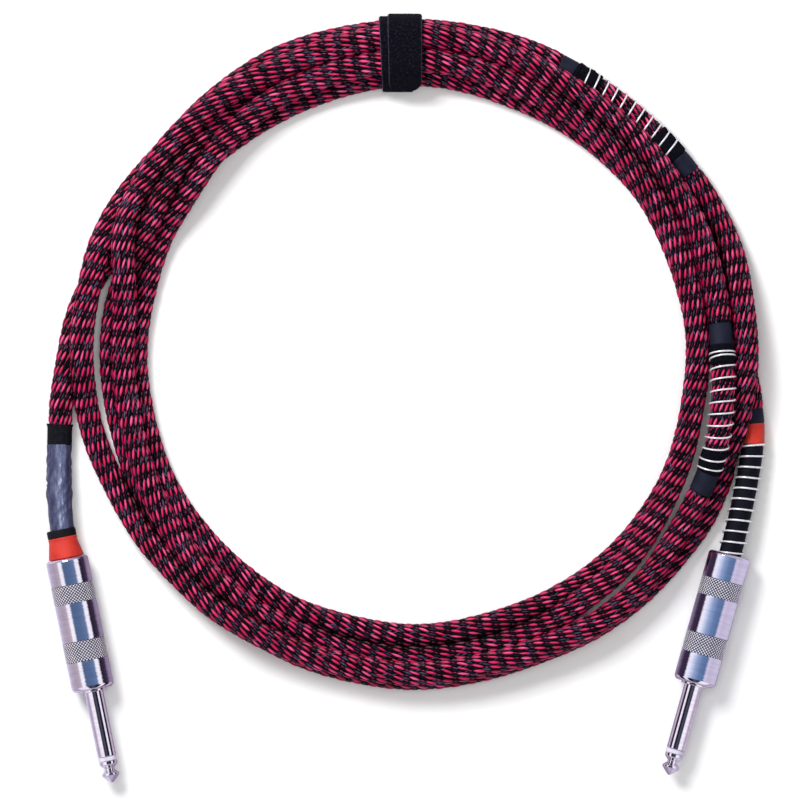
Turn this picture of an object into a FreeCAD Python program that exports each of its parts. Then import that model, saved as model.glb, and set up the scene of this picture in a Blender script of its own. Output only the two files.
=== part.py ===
import FreeCAD, Part
import math
import os
from FreeCAD import Vector as V

os.makedirs("parts", exist_ok=True)

# Instrument cable with a plug at each end, lying coiled and strapped on the floor.
# Millimetres. Origin: middle of the whole object's outline, on the floor. +Z up, left is -X.
# Both plugs point to -Y. Everything is laid out about the coil's centre, then moved by
# ORIGIN_SHIFT when it is exported.

ORIGIN_SHIFT = V(2.679, 13.911, 0.067)   # coil centre seen from the origin

# ---- cable ----------------------------------------------------------------
STRAND_D = 7.0            # braided sleeve, outside
BRAID_WALL = 0.32
SLIT = 0.40               # gap between the coil's end and a lead's end

# name, outside diameter, inside diameter, distance of its end from the path's end
LAYERS = (
    ("braid_sleeve", STRAND_D, STRAND_D - 2 * BRAID_WALL, 22.0),
    ("outer_jacket", 5.70, 4.90, 12.0),
    ("braided_shield", 4.20, 3.90, 10.0),
    ("core_insulation", 3.20, 1.80, 6.0),
    ("centre_conductor", 1.10, 0.0, 3.0),
)

# ---- plugs: x runs along the axis, from 0 at the handle's rear face to the tip ----
HANDLE_D = 14.5
HANDLE_L = 45.7
HANDLE_REAR_BORE = 11.0
HANDLE_BORE = 12.2
HANDLE_THREAD_BORE = 10.3
HANDLE_FRONT_BORE = 11.2
KNURL_BANDS = ((9.1, 15.4), (28.5, 35.5))

THREAD_D = 10.1
SLEEVE_D = 6.35
SLEEVE_END = 69.0
SLEEVE_BORE = 4.3
FLANGE_NOTCHES = 30
RING_END = 70.5           # front face of the insulating ring
RING_R = 2.95             # insulating ring, a little under the sleeve
TIP_END = 78.0
TIP_R = 2.90
ROD_D = 1.9
INSULATOR_BORE_R = 1.2
REAR_HOLE_R = 1.15        # hole in the washer and in both lugs

LINER_OD, LINER_ID = 11.8, 10.9
LINER_START, LINER_END = 2.7, 34.0

# plug axes: point on the axis at the handle's rear face, and pointing direction
LEFT_REAR = V(-118.77, -68.60, 7.25)
LEFT_DIR = V(0.2, -0.98, 0).normalize()
RIGHT_REAR = V(107.37, -67.30, 7.25)
RIGHT_DIR = V(-0.268, -0.9634, 0).normalize()

# ---- fittings on the cable -------------------------------------------------
BUSHING_BORE_R = 4.45
SPRING_WIRE = 0.60        # wire springs on the coil
SPRING_ID = 7.95
RELIEF_WIRE = 0.65        # wire spring behind the right plug
RELIEF_OD = 9.25
COLLAR_OD, COLLAR_ID = 7.90, 7.30
TAPE_OD, TAPE_ID = 7.70, 7.24

# Tubes on the leads: name, is it on the left lead, Y at its start and end, outside and
# inside diameter. The start is the end nearer the left plug along the cable.
LEAD_TUBES = (
    ("left_heat_shrink", True, -58.2, -29.9, 8.3, 7.4),
    ("left_thread_wrap", True, -29.6, -22.9, 8.5, 7.4),
    ("right_relief_tube", False, -30.6, -68.6, 7.66, 7.26),
    ("right_orange_band", False, -22.8, -28.8, 7.9, COLLAR_ID),
    ("right_black_shrink", False, -18.0, -22.6, 7.8, COLLAR_ID),
)
RELIEF_SPRING_Y = (-30.3, -66.6)
RELIEF_SPRING_MARKS = 11

# ---- strap -----------------------------------------------------------------
STRAP_T = 1.2
STRAP_GAP = 0.30
STRAP_SLACK = 0.12        # added to the gap round the bundle
FLAP_GAP = 0.15           # between the loop and the flap over it
STRAP_LOOP_X = (-12.3, -0.6)
STRAP_FLAP_X = (-9.42, 2.36)
FLAP_MIN_Y = 90.4         # the flap is kept beyond this Y
FLAP_MIN_Z = 8.0          # and above this Z
STRAP_SECTION_X = (STRAP_LOOP_X[0], -6.0, 0.0, STRAP_FLAP_X[1])

# ---- centreline ------------------------------------------------------------
# Distances of the path's end points ahead of the handle's rear face, on each plug axis
IN_PLUG = (30.0, 20.5, 5.6)

# Centreline (x, y, z) between the plugs, from the left one to the right one: about four
# and a half turns. Each point is one control point of a smooth curve.
CENTRELINE = [
    (-120.22, -59.45, 7.13),
    (-121.34, -44.62, 5.69), (-121.25, -29.78, 4.26), (-120.51, -14.90, 4.26),
    (-118.27, -0.22, 3.54), (-115.04, 14.29, 3.54), (-108.80, 27.61, 3.50), (-100.04, 39.66, 3.52),
    (-89.85, 50.52, 3.51), (-78.99, 60.69, 3.51), (-67.63, 70.31, 3.51), (-55.45, 78.90, 3.51),
    (-42.33, 86.13, 3.51), (-28.77, 91.47, 3.72), (-14.25, 95.06, 5.13), (0.52, 96.31, 5.58),
    (15.31, 94.59, 4.33), (30.09, 90.18, 3.54), (44.13, 84.22, 3.52), (56.47, 77.01, 3.50),
    (68.01, 67.71, 3.51), (78.12, 56.08, 3.51), (85.02, 43.30, 3.51), (90.44, 29.49, 3.51),
    (94.45, 14.69, 3.51), (96.02, -0.14, 3.51), (94.81, -14.95, 3.51), (91.83, -29.60, 3.51),
    (86.59, -43.39, 3.51), (78.70, -56.05, 3.51), (68.99, -67.30, 3.51), (57.49, -76.64, 3.51),
    (44.55, -84.05, 3.51), (30.86, -89.47, 3.51), (16.53, -93.28, 3.51), (1.74, -95.12, 3.51),
    (-13.10, -93.94, 3.51), (-27.68, -90.63, 3.51), (-41.48, -85.77, 3.51), (-54.58, -77.89, 3.51),
    (-66.03, -68.39, 3.51), (-75.86, -57.43, 3.51), (-84.30, -44.63, 3.51), (-89.96, -31.03, 3.51),
    (-93.54, -16.63, 3.51), (-95.29, -1.76, 3.52), (-94.21, 13.07, 3.50), (-91.04, 27.66, 3.51),
    (-86.16, 41.60, 4.34), (-78.61, 54.47, 8.76), (-70.34, 67.01, 10.65), (-60.59, 78.03, 10.36),
    (-48.60, 87.21, 9.97), (-35.43, 94.01, 10.25), (-21.27, 98.21, 11.05), (-6.44, 100.79, 12.27),
    (8.23, 100.49, 11.60), (23.02, 97.07, 9.87), (37.50, 91.45, 9.54), (50.78, 84.58, 9.81),
    (62.43, 76.39, 10.00), (73.39, 65.73, 10.26), (82.12, 53.33, 10.41), (87.77, 40.10, 10.56),
    (92.21, 25.76, 10.65), (95.14, 10.79, 10.67), (95.80, -4.08, 10.67), (94.19, -18.91, 10.67),
    (91.06, -33.45, 10.66), (85.66, -47.28, 10.60), (78.61, -60.52, 10.17), (69.72, -72.17, 9.42),
    (58.37, -81.84, 8.79), (46.00, -90.47, 6.73), (32.41, -96.49, 3.89), (18.02, -100.28, 3.54),
    (3.22, -102.26, 3.50), (-11.62, -101.44, 3.52), (-26.45, -98.34, 3.96), (-40.52, -93.97, 6.73),
    (-53.50, -87.61, 8.82), (-65.60, -78.45, 9.75), (-76.37, -68.27, 10.40),
    (-84.79, -55.96, 10.35), (-91.13, -42.52, 9.98), (-95.54, -28.28, 9.82),
    (-98.29, -13.67, 9.41), (-99.50, 1.15, 9.45), (-98.90, 15.99, 10.06), (-99.39, 30.92, 12.91),
    (-98.39, 45.38, 12.71), (-92.32, 59.08, 10.56), (-84.02, 71.46, 11.17), (-73.27, 82.36, 10.69),
    (-61.72, 90.97, 10.54), (-48.65, 97.35, 9.92), (-34.49, 103.05, 9.97), (-19.68, 107.30, 11.49),
    (-4.87, 109.51, 12.52), (9.83, 108.74, 11.78), (24.41, 105.43, 10.11), (38.20, 100.13, 11.28),
    (51.23, 92.75, 11.31), (63.63, 84.45, 11.08), (74.86, 74.66, 10.74), (84.48, 63.30, 10.52),
    (92.63, 50.83, 10.68), (98.81, 37.34, 10.57), (102.81, 23.03, 10.90), (104.78, 8.30, 12.79),
    (105.32, -6.57, 15.23), (104.44, -21.38, 15.94), (101.42, -35.91, 13.29),
    (95.62, -49.53, 10.11), (88.16, -62.58, 9.61), (79.82, -74.83, 10.33), (69.32, -85.29, 10.56),
    (56.85, -93.45, 10.62), (43.38, -99.02, 10.59), (28.99, -103.62, 10.54),
    (14.14, -106.83, 10.53), (-0.65, -107.96, 10.50), (-15.45, -106.54, 10.51),
    (-30.10, -103.29, 10.53), (-44.07, -98.84, 11.24), (-57.58, -92.17, 12.88),
    (-70.19, -83.96, 10.13), (-81.07, -73.74, 8.57), (-91.07, -62.68, 5.74),
    (-99.00, -50.08, 3.58), (-105.70, -36.77, 3.62), (-110.75, -22.82, 3.84),
    (-113.09, -8.25, 7.36), (-113.49, 6.62, 9.85), (-111.45, 21.36, 10.62), (-108.06, 35.86, 9.56),
    (-101.92, 49.35, 4.86), (-93.17, 61.30, 3.51), (-83.12, 72.34, 3.52), (-73.07, 83.31, 3.51),
    (-61.56, 92.87, 3.50), (-49.02, 100.80, 3.52), (-35.23, 106.16, 3.57), (-20.68, 109.40, 4.57),
    (-5.90, 111.07, 5.54), (8.96, 110.77, 4.94), (23.67, 108.45, 3.49), (38.01, 104.50, 4.25),
    (51.47, 98.33, 4.66), (64.14, 90.38, 4.62), (75.97, 81.20, 4.62), (86.61, 70.73, 4.67),
    (96.06, 59.26, 3.89), (103.67, 46.48, 3.60), (109.09, 32.68, 5.88), (111.65, 17.95, 8.95),
    (113.04, 3.14, 10.32), (112.03, -11.68, 10.97), (109.02, -26.24, 8.77), (104.69, -40.47, 4.38),
    (98.89, -53.98, 3.50), (90.29, -66.27, 3.51), (80.41, -77.34, 3.51), (68.98, -87.02, 3.51),
    (56.32, -94.70, 3.51), (42.75, -100.36, 3.51), (28.38, -105.19, 3.51), (13.57, -108.36, 3.51),
    (-1.14, -109.51, 3.51), (-16.00, -107.97, 3.51), (-30.65, -104.58, 3.51),
    (-44.27, -99.28, 3.51), (-56.88, -91.03, 3.51), (-68.06, -80.97, 3.51), (-77.78, -69.73, 3.51),
    (-86.35, -57.41, 3.51), (-93.63, -44.52, 3.51), (-98.40, -30.61, 3.51),
    (-102.00, -15.97, 3.51), (-103.50, -1.14, 3.51), (-102.50, 13.69, 3.50), (-98.77, 27.98, 4.63),
    (-92.89, 41.64, 9.42), (-86.39, 55.02, 10.61), (-78.34, 67.68, 8.83), (-68.30, 78.45, 5.55),
    (-56.51, 86.62, 3.61), (-43.03, 93.72, 3.54), (-28.36, 99.08, 3.68), (-13.45, 102.62, 5.21),
    (1.19, 103.87, 5.62), (15.92, 102.17, 4.16), (30.51, 98.57, 3.49), (44.13, 92.99, 3.52),
    (56.97, 85.34, 3.50), (68.96, 76.46, 3.51), (79.69, 66.15, 3.51), (89.49, 54.93, 3.51),
    (97.62, 42.52, 3.51), (103.25, 28.85, 3.50), (107.69, 14.68, 3.52), (111.60, 0.31, 3.56),
    (114.50, -14.27, 3.95), (115.80, -29.12, 4.55), (113.30, -43.83, 5.60),
    (109.72, -58.34, 7.00),
]
LEFT_SPLIT, RIGHT_SPLIT = 3, -3   # indices in CENTRELINE where a lead leaves the coil


# ---- curves made of tangent arcs -------------------------------------------
def spline_tangents(points):
    """Unit tangents of a cubic spline through the points, its ends set along the end chords."""
    n = len(points)
    chord = [(points[i + 1] - points[i]).Length for i in range(n - 1)]
    axes = []
    for axis in range(3):
        y = [p[axis] for p in points]
        lower, diag, upper, right = [0.0] * n, [1.0] * n, [0.0] * n, [0.0] * n
        right[0] = (y[1] - y[0]) / chord[0]
        right[-1] = (y[-1] - y[-2]) / chord[-1]
        for i in range(1, n - 1):
            before, after = chord[i - 1], chord[i]
            lower[i], diag[i], upper[i] = after, 2 * (before + after), before
            right[i] = 3 * (after * (y[i] - y[i - 1]) / before
                            + before * (y[i + 1] - y[i]) / after)
        for i in range(1, n):
            factor = lower[i] / diag[i - 1]
            diag[i] -= factor * upper[i - 1]
            right[i] -= factor * right[i - 1]
        slope = [0.0] * n
        slope[-1] = right[-1] / diag[-1]
        for i in range(n - 2, -1, -1):
            slope[i] = (right[i] - upper[i] * slope[i + 1]) / diag[i]
        axes.append(slope)
    return [V(*components).normalize() for components in zip(*axes)]


def arc_from(start, tangent, end, at_end=False):
    """An arc from start to end; the tangent holds at start, or at end when at_end is set."""
    chord = end - start
    unit = V(chord).normalize()
    cosine = max(-1.0, min(1.0, tangent.dot(unit)))
    angle = math.acos(cosine)
    if angle < 1e-4:
        return Part.LineSegment(start, end).toShape()
    normal = (tangent - unit * cosine).normalize()
    bulge = chord.Length / 2 * math.tan(angle / 2)
    middle = start + chord * 0.5 + normal * (-bulge if at_end else bulge)
    return Part.Arc(start, middle, end).toShape()


def biarc(start, start_dir, end, end_dir):
    """Two arcs that meet tangentially and keep the given end directions."""
    chord = end - start
    bend = 1 - start_dir.dot(end_dir)
    if bend < 1e-9:
        return [Part.LineSegment(start, end).toShape()]
    along = chord.dot(start_dir + end_dir)
    reach = (-along + math.sqrt(along * along + 2 * bend * chord.dot(chord))) / (2 * bend)
    joint = (start + end + (start_dir - end_dir) * reach) * 0.5
    return [arc_from(start, start_dir, joint), arc_from(joint, end_dir, end, at_end=True)]


class Path:
    """A chain of biarcs, measured by the arc length s. node_s is s at each control point."""

    def __init__(self, points, tangents):
        self.edges, self.start, self.node_s = [], [], []
        s = 0.0
        for i in range(len(points) - 1):
            self.node_s.append(s)
            for edge in biarc(points[i], tangents[i], points[i + 1], tangents[i + 1]):
                self.edges.append(edge)
                self.start.append(s)
                s += edge.Length
        self.node_s.append(s)
        self.length = s

    def _find(self, s):
        low, high = 0, len(self.start) - 1
        while low < high:
            mid = (low + high + 1) // 2
            if self.start[mid] <= s:
                low = mid
            else:
                high = mid - 1
        return low

    def at(self, s):
        """Position and unit tangent."""
        i = self._find(max(0.0, min(self.length, s)))
        edge = self.edges[i]
        part = max(0.0, min(1.0, (s - self.start[i]) / edge.Length))
        param = edge.FirstParameter + part * (edge.LastParameter - edge.FirstParameter)
        return edge.valueAt(param), edge.tangentAt(param).normalize()

    def frame(self, s):
        """Position, direction to the right of travel, and direction up."""
        point, tangent = self.at(s)
        side = tangent.cross(V(0, 0, 1)).normalize()
        return point, side, side.cross(tangent).normalize()

    def wire(self, from_s, to_s):
        out = []
        for edge, start in zip(self.edges, self.start):
            if start + edge.Length <= from_s + 1e-6 or start >= to_s - 1e-6:
                continue
            first = max(0.0, (from_s - start) / edge.Length)
            last = min(1.0, (to_s - start) / edge.Length)
            if last - first < 1e-6:
                continue
            if first == 0.0 and last == 1.0:
                out.append(edge)
            else:
                base = edge.FirstParameter
                span = edge.LastParameter - base
                out.append(edge.Curve.toShape(base + first * span, base + last * span))
        return Part.Wire(out)


def cable_path():
    left = [LEFT_REAR + LEFT_DIR * distance for distance in IN_PLUG]
    right = [RIGHT_REAR + RIGHT_DIR * distance for distance in reversed(IN_PLUG)]
    points = left + [V(*p) for p in CENTRELINE] + right
    # the outermost point at each end takes no part in the spline; inside the plugs the
    # tangents follow the plug axes
    inner = spline_tangents(points[1:-1])[2:-2]
    return Path(points, [LEFT_DIR * -1] * 3 + inner + [RIGHT_DIR] * 3)


cable = cable_path()
LEFT_CUT = cable.node_s[LEFT_SPLIT + len(IN_PLUG)]
RIGHT_CUT = cable.node_s[RIGHT_SPLIT - len(IN_PLUG)]


# ---- places along the cable --------------------------------------------------
def bearing_table():
    """(s, bearing about the coil's centre) about every 2 mm: degrees, 0 at -X, growing
    clockwise seen from above, counted on from turn to turn."""
    table = []
    last = 0.0
    steps = int(cable.length / 2.0)
    for i in range(steps + 1):
        s = cable.length * i / steps
        point = cable.at(s)[0]
        bearing = 180.0 - math.degrees(math.atan2(point.y, point.x))
        bearing -= 360 * round((bearing - last) / 360)
        table.append((s, bearing))
        last = bearing
    return table


bearings = bearing_table()


def s_at_bearing(bearing):
    """Arc length at a bearing, past the first 150 mm of the cable."""
    for (s0, b0), (s1, b1) in zip(bearings, bearings[1:]):
        if s1 > 150 and b0 <= bearing <= b1:
            return s0 + (bearing - b0) / (b1 - b0) * (s1 - s0)
    raise ValueError(bearing)


def s_near(y, left):
    """Arc length where the left or the right lead crosses the given Y."""
    low, high = (0.0, 120.0) if left else (cable.length - 140.0, cable.length)
    steps = 2000
    best = min(range(steps + 1),
               key=lambda k: abs(cable.at(low + (high - low) * k / steps)[0].y - y))
    return low + (high - low) * best / steps


def evenly(first, last, count):
    return [first + (last - first) * i / (count - 1) for i in range(count)]


# ---- tubes and springs -------------------------------------------------------
def pipe(path_wire, start, tangent, radius):
    """A round rod along a wire of tangent arcs."""
    return path_wire.makePipe(Part.Face(Part.Wire([Part.makeCircle(radius, start, tangent)])))


def caps_and_sides(shape):
    caps = [f for f in shape.Faces if f.Surface.TypeId == "Part::GeomPlane"]
    sides = [f for f in shape.Faces if f.Surface.TypeId != "Part::GeomPlane"]
    return caps, sides


def hollow(skin, core):
    """Join two pipes on one path into a tube: side faces of both, an annulus at each end."""
    skin_caps, skin_sides = caps_and_sides(skin)
    core_caps, core_sides = caps_and_sides(core)
    ends = []
    for cap in skin_caps:
        mate = min(core_caps, key=lambda c: (c.CenterOfMass - cap.CenterOfMass).Length)
        ends.append(cap.cut(mate).Faces[0])
    shell = Part.makeShell(skin_sides + core_sides + ends)
    shell.sewShape()
    return outward(Part.Solid(shell))


def outward(shape):
    """The shape's first solid, turned right side out."""
    solid = shape.Solids[0]
    if solid.Volume < 0:
        solid.reverse()
    return solid


def tube(from_s, to_s, outside_d, inside_d):
    """A tube along the cable, or a rod when inside_d is 0."""
    start, tangent = cable.at(from_s)
    path_wire = cable.wire(from_s, to_s)
    skin = pipe(path_wire, start, tangent, outside_d / 2)
    if inside_d <= 0:
        return skin
    return hollow(skin, pipe(path_wire, start, tangent, inside_d / 2))


def spring(marks, coil_r, wire_r):
    """A round wire wound round the cable. Each mark is the arc length at which a turn crosses
    the top; the ends run out a little past the sides. Arcs through points on the helix."""
    per_turn = 12
    lead_in = 0.27            # turns added at each end

    def s_of(turn):
        i = max(0, min(len(marks) - 2, int(math.floor(turn))))
        return marks[i] + (turn - i) * (marks[i + 1] - marks[i])

    turns = len(marks) - 1 + 2 * lead_in
    n = int(round(turns * per_turn))
    points = []
    for i in range(n + 1):
        turn = turns * i / n - lead_in
        angle = math.pi / 2 - 2 * math.pi * turn
        centre, side, up = cable.frame(s_of(turn))
        points.append(centre + side * (coil_r * math.cos(angle)) + up * (coil_r * math.sin(angle)))
    tangents = spline_tangents(points)
    helix = Path(points, tangents)
    return pipe(Part.Wire(helix.edges), points[0], tangents[0], wire_r)


# ---- turned parts --------------------------------------------------------------
def place(shape, rear, direction):
    """Move a part from the plug's own frame (axis on +X) onto a plug."""
    shape = shape.copy()
    placement = FreeCAD.Placement(rear, FreeCAD.Rotation(V(1, 0, 0), direction))
    shape.Placement = placement.multiply(shape.Placement)
    return shape


def turned(profile):
    """A closed (x, radius) profile turned about the X axis."""
    outline = Part.makePolygon([V(x, r, 0) for x, r in profile + profile[:1]])
    return Part.Face(outline).revolve(V(0, 0, 0), V(1, 0, 0), 360).Solids[0]


def washer(x0, x1, inner_r, outer_r):
    return turned([(x0, inner_r), (x0, outer_r), (x1, outer_r), (x1, inner_r)])


def arc_points(x, y, r, start, end, n):
    """n + 1 points on an arc about (x, y), from the start to the end angle in degrees."""
    angles = [math.radians(start + (end - start) * i / n) for i in range(n + 1)]
    return [(x + r * math.cos(a), y + r * math.sin(a)) for a in angles]


def handle():
    outer_r = HANDLE_D / 2
    rear_r, bore_r = HANDLE_REAR_BORE / 2, HANDLE_BORE / 2
    thread_r, front_r = HANDLE_THREAD_BORE / 2, HANDLE_FRONT_BORE / 2
    rear_round, front_round = 0.7, 1.5
    groove_r, groove_w = outer_r - 0.15, 0.35    # groove at each end of a knurl band
    band_r = outer_r - 0.03
    outer = [(0, rear_r)]
    outer += arc_points(rear_round, outer_r - rear_round, rear_round, 180, 90, 4)
    for start, end in KNURL_BANDS:
        outer += [(start - groove_w, outer_r), (start - groove_w, groove_r),
                  (start, groove_r), (start, band_r),
                  (end, band_r), (end, groove_r),
                  (end + groove_w, groove_r), (end + groove_w, outer_r)]
    outer += arc_points(HANDLE_L - front_round, outer_r - front_round, front_round, 90, 0, 6)
    outer += [(HANDLE_L, front_r)]
    inner = [(43.3, front_r), (43.3, thread_r), (36.4, thread_r),
             (36.4, bore_r), (2.5, bore_r), (2.5, rear_r)]
    return outward(turned(outer + inner))


def ground_sleeve():
    sleeve_r, bore_r, thread_r = SLEEVE_D / 2, SLEEVE_BORE / 2, THREAD_D / 2
    body = outward(turned([
        (36.6, bore_r), (36.6, thread_r - 0.4), (37.0, thread_r), (43.1, thread_r),
        (43.1, 4.6), (43.6, 4.6), (43.6, 5.25), (45.5, 5.25), (45.5, 4.4), (46.3, 4.4),
        (46.3, sleeve_r), (SLEEVE_END - 0.3, sleeve_r), (SLEEVE_END, sleeve_r - 0.3),
        (SLEEVE_END, bore_r)]))
    # notches milled along the edge of the front flange
    notch_r, circle_r = 0.28, 5.3
    cutters = []
    for i in range(FLANGE_NOTCHES):
        a = 2 * math.pi * i / FLANGE_NOTCHES
        base = V(43.2, circle_r * math.cos(a), circle_r * math.sin(a))
        cutters.append(Part.makeCylinder(notch_r, 3.0, base, V(1, 0, 0)))
    return outward(body.cut(Part.makeCompound(cutters)))


def tip_insulator():
    """A thin tube inside the ground sleeve with the insulating ring at its front."""
    tube_r, ring_start = 1.95, SLEEVE_END + 0.1
    return outward(turned([
        (36.9, INSULATOR_BORE_R), (36.9, tube_r), (ring_start, tube_r), (ring_start, RING_R),
        (RING_END, RING_R), (RING_END, INSULATOR_BORE_R)]))


def tip_contact():
    """Centre rod with a head at its rear end and the waisted tip at its front."""
    rod_r, tip_start, nose_r = ROD_D / 2, RING_END + 0.1, 0.95
    profile = [(32.4, 0), (32.4, 1.5), (33.3, 1.5), (33.3, rod_r), (tip_start, rod_r),
               (tip_start, TIP_R), (71.6, TIP_R), (72.0, 2.7), (72.9, 1.8), (73.5, 1.65),
               (73.9, 1.9), (74.6, 2.7), (75.1, TIP_R), (75.5, 2.85), (77.3, 1.15)]
    return outward(turned(profile + arc_points(TIP_END - nose_r, 0, nose_r, 45, 0, 5)))


def rear_washer():
    return outward(washer(34.5, 35.6, REAR_HOLE_R, 2.8))


def tip_lug():
    """Ring with a tab running rearward under the axis, a hole near the tab's end."""
    ring_start, ring_end = 33.5, 34.2
    tab_start, tab_w, tab_z = 28.0, 1.9, -2.4
    ring = washer(ring_start, ring_end, REAR_HOLE_R, 2.45)
    tab = Part.makeBox(ring_end - tab_start, tab_w, 0.6, V(tab_start, -tab_w / 2, tab_z))
    neck = Part.makeBox(ring_end - ring_start, tab_w, 1.0, V(ring_start, -tab_w / 2, tab_z))
    hole = Part.makeCylinder(0.45, 3, V(29.2, 0, -3), V(0, 0, 1))
    return outward(ring.fuse([tab.cut(hole), neck]).removeSplitter())


def ground_lug():
    """Ring with an arm running rearward above the axis to a clamp slotted underneath."""
    clamp_start, clamp_r, ring_end = 12.5, 3.62, 36.4
    arm_w, arm_t = 3.0, 0.5
    ring = washer(35.8, ring_end, REAR_HOLE_R, 4.2)
    arm = Part.makeBox(ring_end - clamp_start, arm_w, arm_t,
                       V(clamp_start, -arm_w / 2, clamp_r - arm_t))
    clamp = washer(clamp_start, 17.0, 3.05, clamp_r)
    clamp = clamp.cut(Part.makeBox(6, 2.6, 3, V(12, -1.3, -4.6)))
    return outward(ring.fuse([arm, clamp]).removeSplitter())


def liner(stepped_rear):
    """Tube inside the handle; a stepped one narrows to pass through the rear opening."""
    outer_r, inner_r = LINER_OD / 2, LINER_ID / 2
    profile = [(LINER_START, outer_r), (LINER_END, outer_r), (LINER_END, inner_r)]
    if stepped_rear:
        neck_outer_r, neck_inner_r = HANDLE_REAR_BORE / 2 - 0.2, 4.95
        profile += [(4.0, inner_r), (4.0, neck_inner_r), (0.5, neck_inner_r),
                    (0.5, neck_outer_r), (LINER_START, neck_outer_r)]
    else:
        profile += [(LINER_START, inner_r)]
    return outward(turned(profile))


def cable_bushing():
    """Flared collar that sits in the handle's rear opening."""
    return outward(turned([
        (-7.3, BUSHING_BORE_R), (-7.3, 4.95), (-6.8, 5.0), (-6.4, 4.75), (-0.9, 6.0),
        (-0.15, 6.1), (-0.15, 5.3), (2.4, 5.3), (2.4, BUSHING_BORE_R)]))


def bushing_ring():
    """Small ring behind the bushing."""
    return outward(turned([
        (-10.0, BUSHING_BORE_R), (-10.0, 4.75), (-9.7, 4.95), (-7.8, 4.95), (-7.5, 4.75),
        (-7.5, BUSHING_BORE_R)]))


# ---- strap: one loop round the bundle and a flap over it -------------------------
def bundle_centres():
    """(y, z) where the strands on the +Y side of the coil cross the strap's sections."""
    points = [cable.at(s)[0] for s, _ in bearings]
    found = []
    for x in STRAP_SECTION_X:
        for a, b in zip(points, points[1:]):
            if a.y > 60 and (a.x - x) * (b.x - x) <= 0 and a.x != b.x:
                crossing = a + (b - a) * ((x - a.x) / (b.x - a.x))
                found.append((crossing.y, crossing.z))
    return found


def half_hull(points):
    out = []
    for y, z in points:
        while len(out) >= 2:
            (y0, z0), (y1, z1) = out[-2:]
            if (y1 - y0) * (z - z0) - (z1 - z0) * (y - y0) > 1e-9:
                break
            out.pop()
        out.append((y, z))
    return out


def hull(points):
    ordered = sorted(set(points))
    return half_hull(ordered)[:-1] + half_hull(ordered[::-1])[:-1]


def merge_close(corners, gap=0.1):
    """Drop hull corners nearer than the gap to the last kept one."""
    out = [corners[0]]
    for p in corners[1:]:
        if math.dist(p, out[-1]) > gap:
            out.append(p)
    if math.dist(out[0], out[-1]) < gap:
        out.pop()
    return out


def offset_wire(corners, r, x):
    """The closed line at the distance r outside a convex polygon, in the plane X = x."""
    n = len(corners)
    normals = []
    for i in range(n):
        (y0, z0), (y1, z1) = corners[i], corners[(i + 1) % n]
        side = math.hypot(y1 - y0, z1 - z0)
        normals.append(V(0, (z1 - z0) / side, -(y1 - y0) / side))
    edges = []
    for i in range(n):
        start, corner = V(x, *corners[i]), V(x, *corners[(i + 1) % n])
        normal, after = normals[i], normals[(i + 1) % n]
        line_end = corner + normal * r
        edges.append(Part.LineSegment(start + normal * r, line_end).toShape())
        middle = corner + (normal + after).normalize() * r
        arc_end = corner + after * r
        if (arc_end - line_end).Length > 1e-4:
            edges.append(Part.Arc(line_end, middle, arc_end).toShape())
    return Part.Wire(edges)


def band(corners, inner_r, x_range):
    """A closed band of the strap's thickness round the bundle."""
    x, width = x_range[0], V(x_range[1] - x_range[0], 0, 0)
    outer = Part.Face(offset_wire(corners, inner_r + STRAP_T, x)).extrude(width)
    return outer.cut(Part.Face(offset_wire(corners, inner_r, x)).extrude(width))


def strap():
    corners = merge_close(hull(bundle_centres()))
    loop_r = STRAND_D / 2 + STRAP_GAP + STRAP_SLACK
    loop = band(corners, loop_r, STRAP_LOOP_X)
    flap = band(corners, loop_r + STRAP_T + FLAP_GAP, STRAP_FLAP_X)
    x0, x1 = STRAP_FLAP_X
    keep = Part.makeBox(x1 - x0 + 2, 200 - FLAP_MIN_Y, 60, V(x0 - 1, FLAP_MIN_Y, FLAP_MIN_Z))
    flap = max(flap.common(keep).Solids, key=lambda s: s.Volume)
    return {"strap_loop": loop.Solids[0], "strap_flap": flap}


# ---- groups of pieces --------------------------------------------------------------
def cable_layers():
    out = {}
    half = SLIT / 2
    for name, outside, inside, back in LAYERS:
        out["coil_" + name] = tube(LEFT_CUT + half, RIGHT_CUT - half, outside, inside)
        out["left_lead_" + name] = tube(back, LEFT_CUT - half, outside, inside)
        out["right_lead_" + name] = tube(RIGHT_CUT + half, cable.length - back, outside, inside)
    return out


def plug(side, rear, direction):
    parts = {
        "plug_handle": handle(),
        "plug_liner": liner(stepped_rear=side == "right"),
        "ground_sleeve": ground_sleeve(),
        "tip_insulator": tip_insulator(),
        "tip_contact": tip_contact(),
        "rear_insulator_washer": rear_washer(),
        "tip_solder_lug": tip_lug(),
        "ground_clamp_lug": ground_lug(),
    }
    if side == "left":
        parts["cable_bushing"] = cable_bushing()
        parts["bushing_ring"] = bushing_ring()
    return {side + "_" + name: place(part, rear, direction) for name, part in parts.items()}


def lead_fittings():
    out = {}
    for name, left, start_y, end_y, outside, inside in LEAD_TUBES:
        out[name] = tube(s_near(start_y, left), s_near(end_y, left), outside, inside)
    first, last = (s_near(y, left=False) for y in RELIEF_SPRING_Y)
    out["right_relief_spring"] = spring(evenly(first, last, RELIEF_SPRING_MARKS),
                                        (RELIEF_OD - RELIEF_WIRE) / 2, RELIEF_WIRE / 2)
    return out


def spring_set(tag, collars, tapes, marks):
    """A wire spring on the coil between tape bands and collars, all placed by bearing."""
    def tubes(spans, outside, inside):
        return Part.makeCompound([tube(s_at_bearing(start), s_at_bearing(end), outside, inside)
                                  for start, end in spans])

    return {
        tag + "_spring_collars": tubes(collars, COLLAR_OD, COLLAR_ID),
        tag + "_spring_tape_bands": tubes(tapes, TAPE_OD, TAPE_ID),
        tag + "_wire_spring": spring([s_at_bearing(mark) for mark in marks],
                                     (SPRING_ID + SPRING_WIRE) / 2, SPRING_WIRE / 2),
    }


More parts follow.
